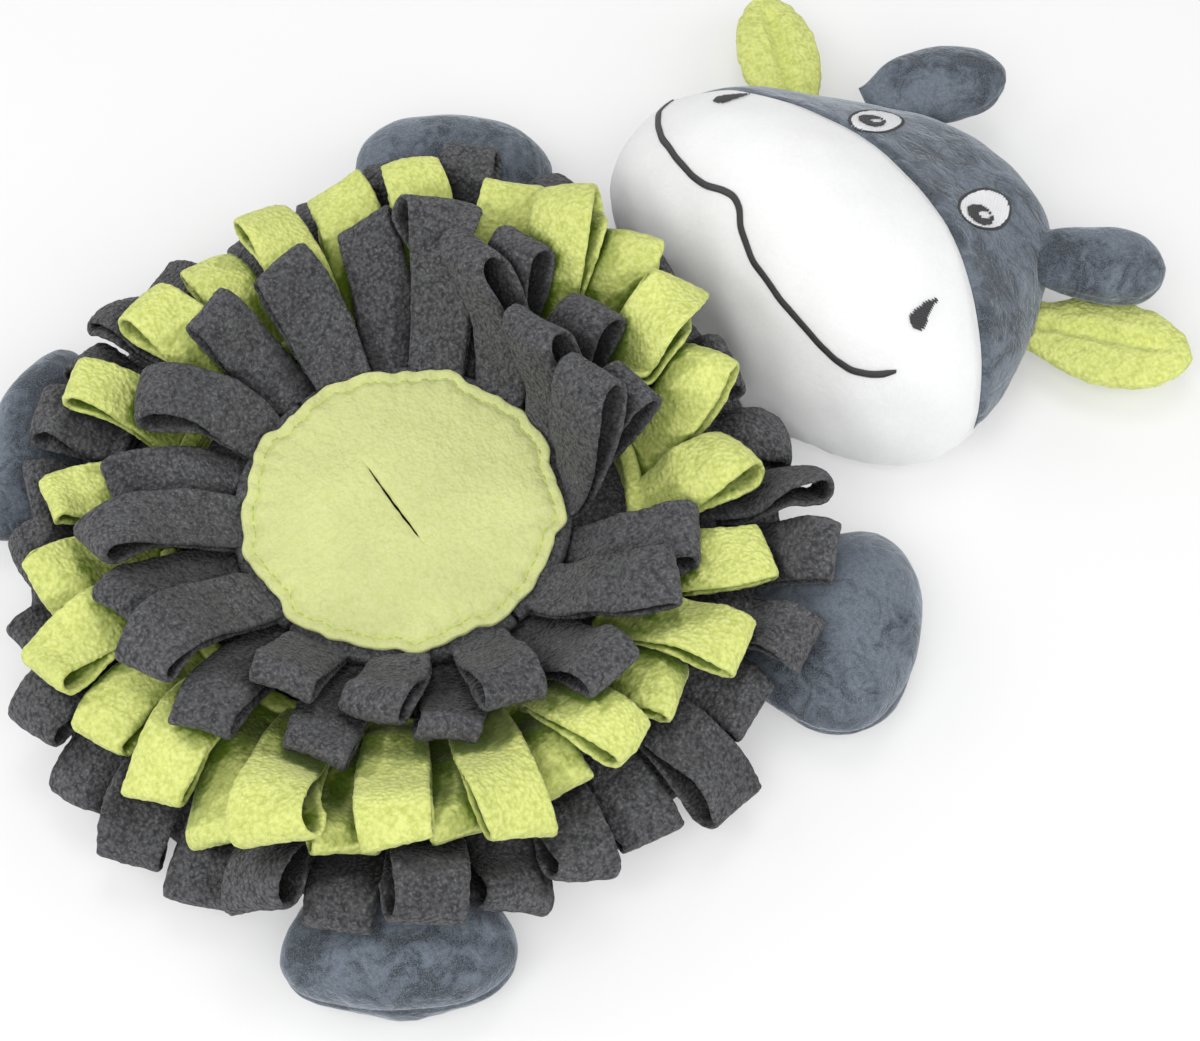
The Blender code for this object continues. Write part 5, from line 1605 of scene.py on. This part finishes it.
def make_eye(side):
    """An eye: its white, the stitched ring round it and the pupil with a glint."""
    centre = np.array(head_place(*EYE_PLACES[side]))
    swing = math.radians(EYE_TURN)
    ahead = np.array((math.cos(swing), math.sin(swing)))
    beside = np.array((-ahead[1], ahead[0]))
    long, short = 0.5 * EYE_LENGTH, 0.5 * EYE_WIDTH

    def within(margin):
        def inside(x, y):
            u, v = x * ahead[0] + y * ahead[1], x * beside[0] + y * beside[1]
            return (u / (long - margin)) ** 2 + (v / (short - margin)) ** 2 < 1.0

        return inside

    white = satin_patch(f"eye_{side}_white_stitches", within(0.0011), centre, long, EYE_TURN,
                        0.0002, WHITE_THREAD)
    worn_by(white, "head", "white_thread", f"eye_{side}_white")
    turns = np.linspace(0.0, 2.0 * math.pi, 721)
    edge = centre + np.outer((long - 0.0006) * np.cos(turns), ahead) \
        + np.outer((short - 0.0006) * np.sin(turns), beside)
    threads = []
    path = even_path(edge, 0.00045)
    for point, way in zip(path[:-1], np.diff(path, axis=0)):
        place, normal = on_surface(HEAD_SURFACE, float(point[0]), float(point[1]), 0.0003)
        around = Vector((way[0], way[1], 0.0)).normalized()
        across = normal.cross(around).normalized()
        threads.append((place, (across + 0.5 * around).normalized(), normal, 0.0015))
    ring = stitched(f"eye_{side}_outline_stitches", threads, OUTLINE_THREAD, BLACK_THREAD)
    worn_by(ring, "head", "black_thread", f"eye_{side}_outline")
    shift = np.array(PUPIL_PLACES[side]) * (EYE_WIDTH, EYE_LENGTH)

    def crescent(x, y):
        outer = (x / 0.0048) ** 2 + (y / 0.0060) ** 2 < 1.0
        glint = ((x - 0.0004) / 0.0018) ** 2 + ((y - 0.0024) / 0.0030) ** 2 < 1.0
        return outer and not glint

    pupil = satin_patch(f"eye_{side}_pupil_stitches", crescent, centre + shift, 0.0064, EYE_TURN,
                        0.0008, BLACK_THREAD, tuck=0.0014)
    worn_by(pupil, "head", "black_thread", f"eye_{side}_pupil")


def make_nostril(side):
    """A nostril in the shape of a comma, mirrored for the left side."""
    centre = head_place(*NOSTRIL_PLACES[side])
    sign = 1.0 if side == "right" else -1.0
    heading = NOSTRIL_TURN if side == "right" else 180.0 - NOSTRIL_TURN
    turn = math.radians(heading)

    def comma(x, y):
        along = x * math.cos(turn) + y * math.sin(turn)
        aside = sign * (-x * math.sin(turn) + y * math.cos(turn))
        share = (along + 0.0078) / 0.0156
        if not 0.0 <= share <= 1.0:
            return False
        middle = -0.0030 * (share - 0.35) ** 2
        half = 0.0037 * (1.0 - share) ** 0.8 * min(1.0, 6.0 * share) ** 0.5
        return abs(aside - middle) < half

    patch = satin_patch(f"nostril_{side}_stitches", comma, centre, 0.0084, heading + 70.0, 0.0004,
                        BLACK_THREAD, tuck=0.0013)
    worn_by(patch, "head", "black_thread", f"nostril_{side}")


make_mouth()
for face_side in EYE_PLACES:
    make_eye(face_side)
    make_nostril(face_side)

bpy.data.objects.remove(HEAD)
bpy.data.objects.remove(HOLLOW)


# Floor, light and background
def seen_directly(tree):
    """1 for what the camera sees, straight or through gloss or glass, and 0 for light."""
    path = tree.nodes.new("ShaderNodeLightPath")
    seen = path.outputs["Is Camera Ray"]
    for also in ("Is Glossy Ray", "Is Transmission Ray"):
        larger = tree.nodes.new("ShaderNodeMath")
        larger.operation = "MAXIMUM"
        tree.links.new(seen, larger.inputs[0])
        tree.links.new(path.outputs[also], larger.inputs[1])
        seen = larger.outputs[0]
    return seen


def pale_surface(name):
    """A pale frosted floor: a limb that hangs below it still shows through, and so does white."""
    material = bpy.data.materials.new(name)
    material.use_nodes = True
    tree = material.node_tree
    shader = tree.nodes["Principled BSDF"]
    shader.inputs["Base Color"].default_value = (0.86, 0.86, 0.86, 1.0)
    shader.inputs["Roughness"].default_value = 0.9
    shader.inputs["Specular IOR Level"].default_value = 0.1
    clear = tree.nodes.new("ShaderNodeBsdfTransparent")
    frosted = tree.nodes.new("ShaderNodeMixShader")
    share = tree.nodes.new("ShaderNodeMath")
    share.operation = "MULTIPLY"
    share.inputs[1].default_value = FLOOR_CLEARNESS
    tree.links.new(seen_directly(tree), share.inputs[0])
    tree.links.new(share.outputs[0], frosted.inputs[0])
    tree.links.new(shader.outputs[0], frosted.inputs[1])
    tree.links.new(clear.outputs[0], frosted.inputs[2])
    tree.links.new(frosted.outputs[0], tree.nodes["Material Output"].inputs["Surface"])
    return material


def make_stage():
    square = ((-1, -1), (1, -1), (1, 1), (-1, 1))
    corners = [(x * FLOOR_REACH, y * FLOOR_REACH, -FLOOR_DROP) for x, y in square]
    new_object("floor", corners, [(0, 1, 2, 3)], pale_surface("floor"), smooth=False)


def area_light(name, place, size, power, target=(0.0, 0.06, 0.02)):
    """A square light that faces the toy."""
    data = bpy.data.lights.new(name, "AREA")
    data.shape = "SQUARE"
    data.size = size
    data.energy = power
    obj = placed(name, data)
    obj.location = place
    obj.rotation_euler = (Vector(target) - Vector(place)).to_track_quat("-Z", "Y").to_euler()


def make_light():
    """A white background that lights the toy less than it shows, and five soft lights."""
    world = bpy.data.worlds.new("studio")
    bpy.context.scene.world = world
    world.use_nodes = True
    back = world.node_tree.nodes["Background"]
    back.inputs["Color"].default_value = (1.0, 1.0, 1.0, 1.0)
    strength = world.node_tree.nodes.new("ShaderNodeMix")
    strength.inputs[2].default_value = 0.30
    strength.inputs[3].default_value = 1.0
    world.node_tree.links.new(seen_directly(world.node_tree), strength.inputs[0])
    world.node_tree.links.new(strength.outputs[0], back.inputs["Strength"])
    area_light("key", (-0.5, 0.5, 1.7), 0.7, 5.0)
    area_light("fill", (1.1, -0.2, 1.1), 1.2, 8.5)
    area_light("front_fill", (0.35, -0.85, 1.4), 1.2, 11.5)
    area_light("left_fill", (-1.1, -0.9, 0.9), 1.2, 9.5)
    area_light("right_fill", (1.0, 1.2, 0.9), 1.0, 7.5)


make_stage()
make_light()
bpy.context.scene.view_settings.view_transform = "Standard"
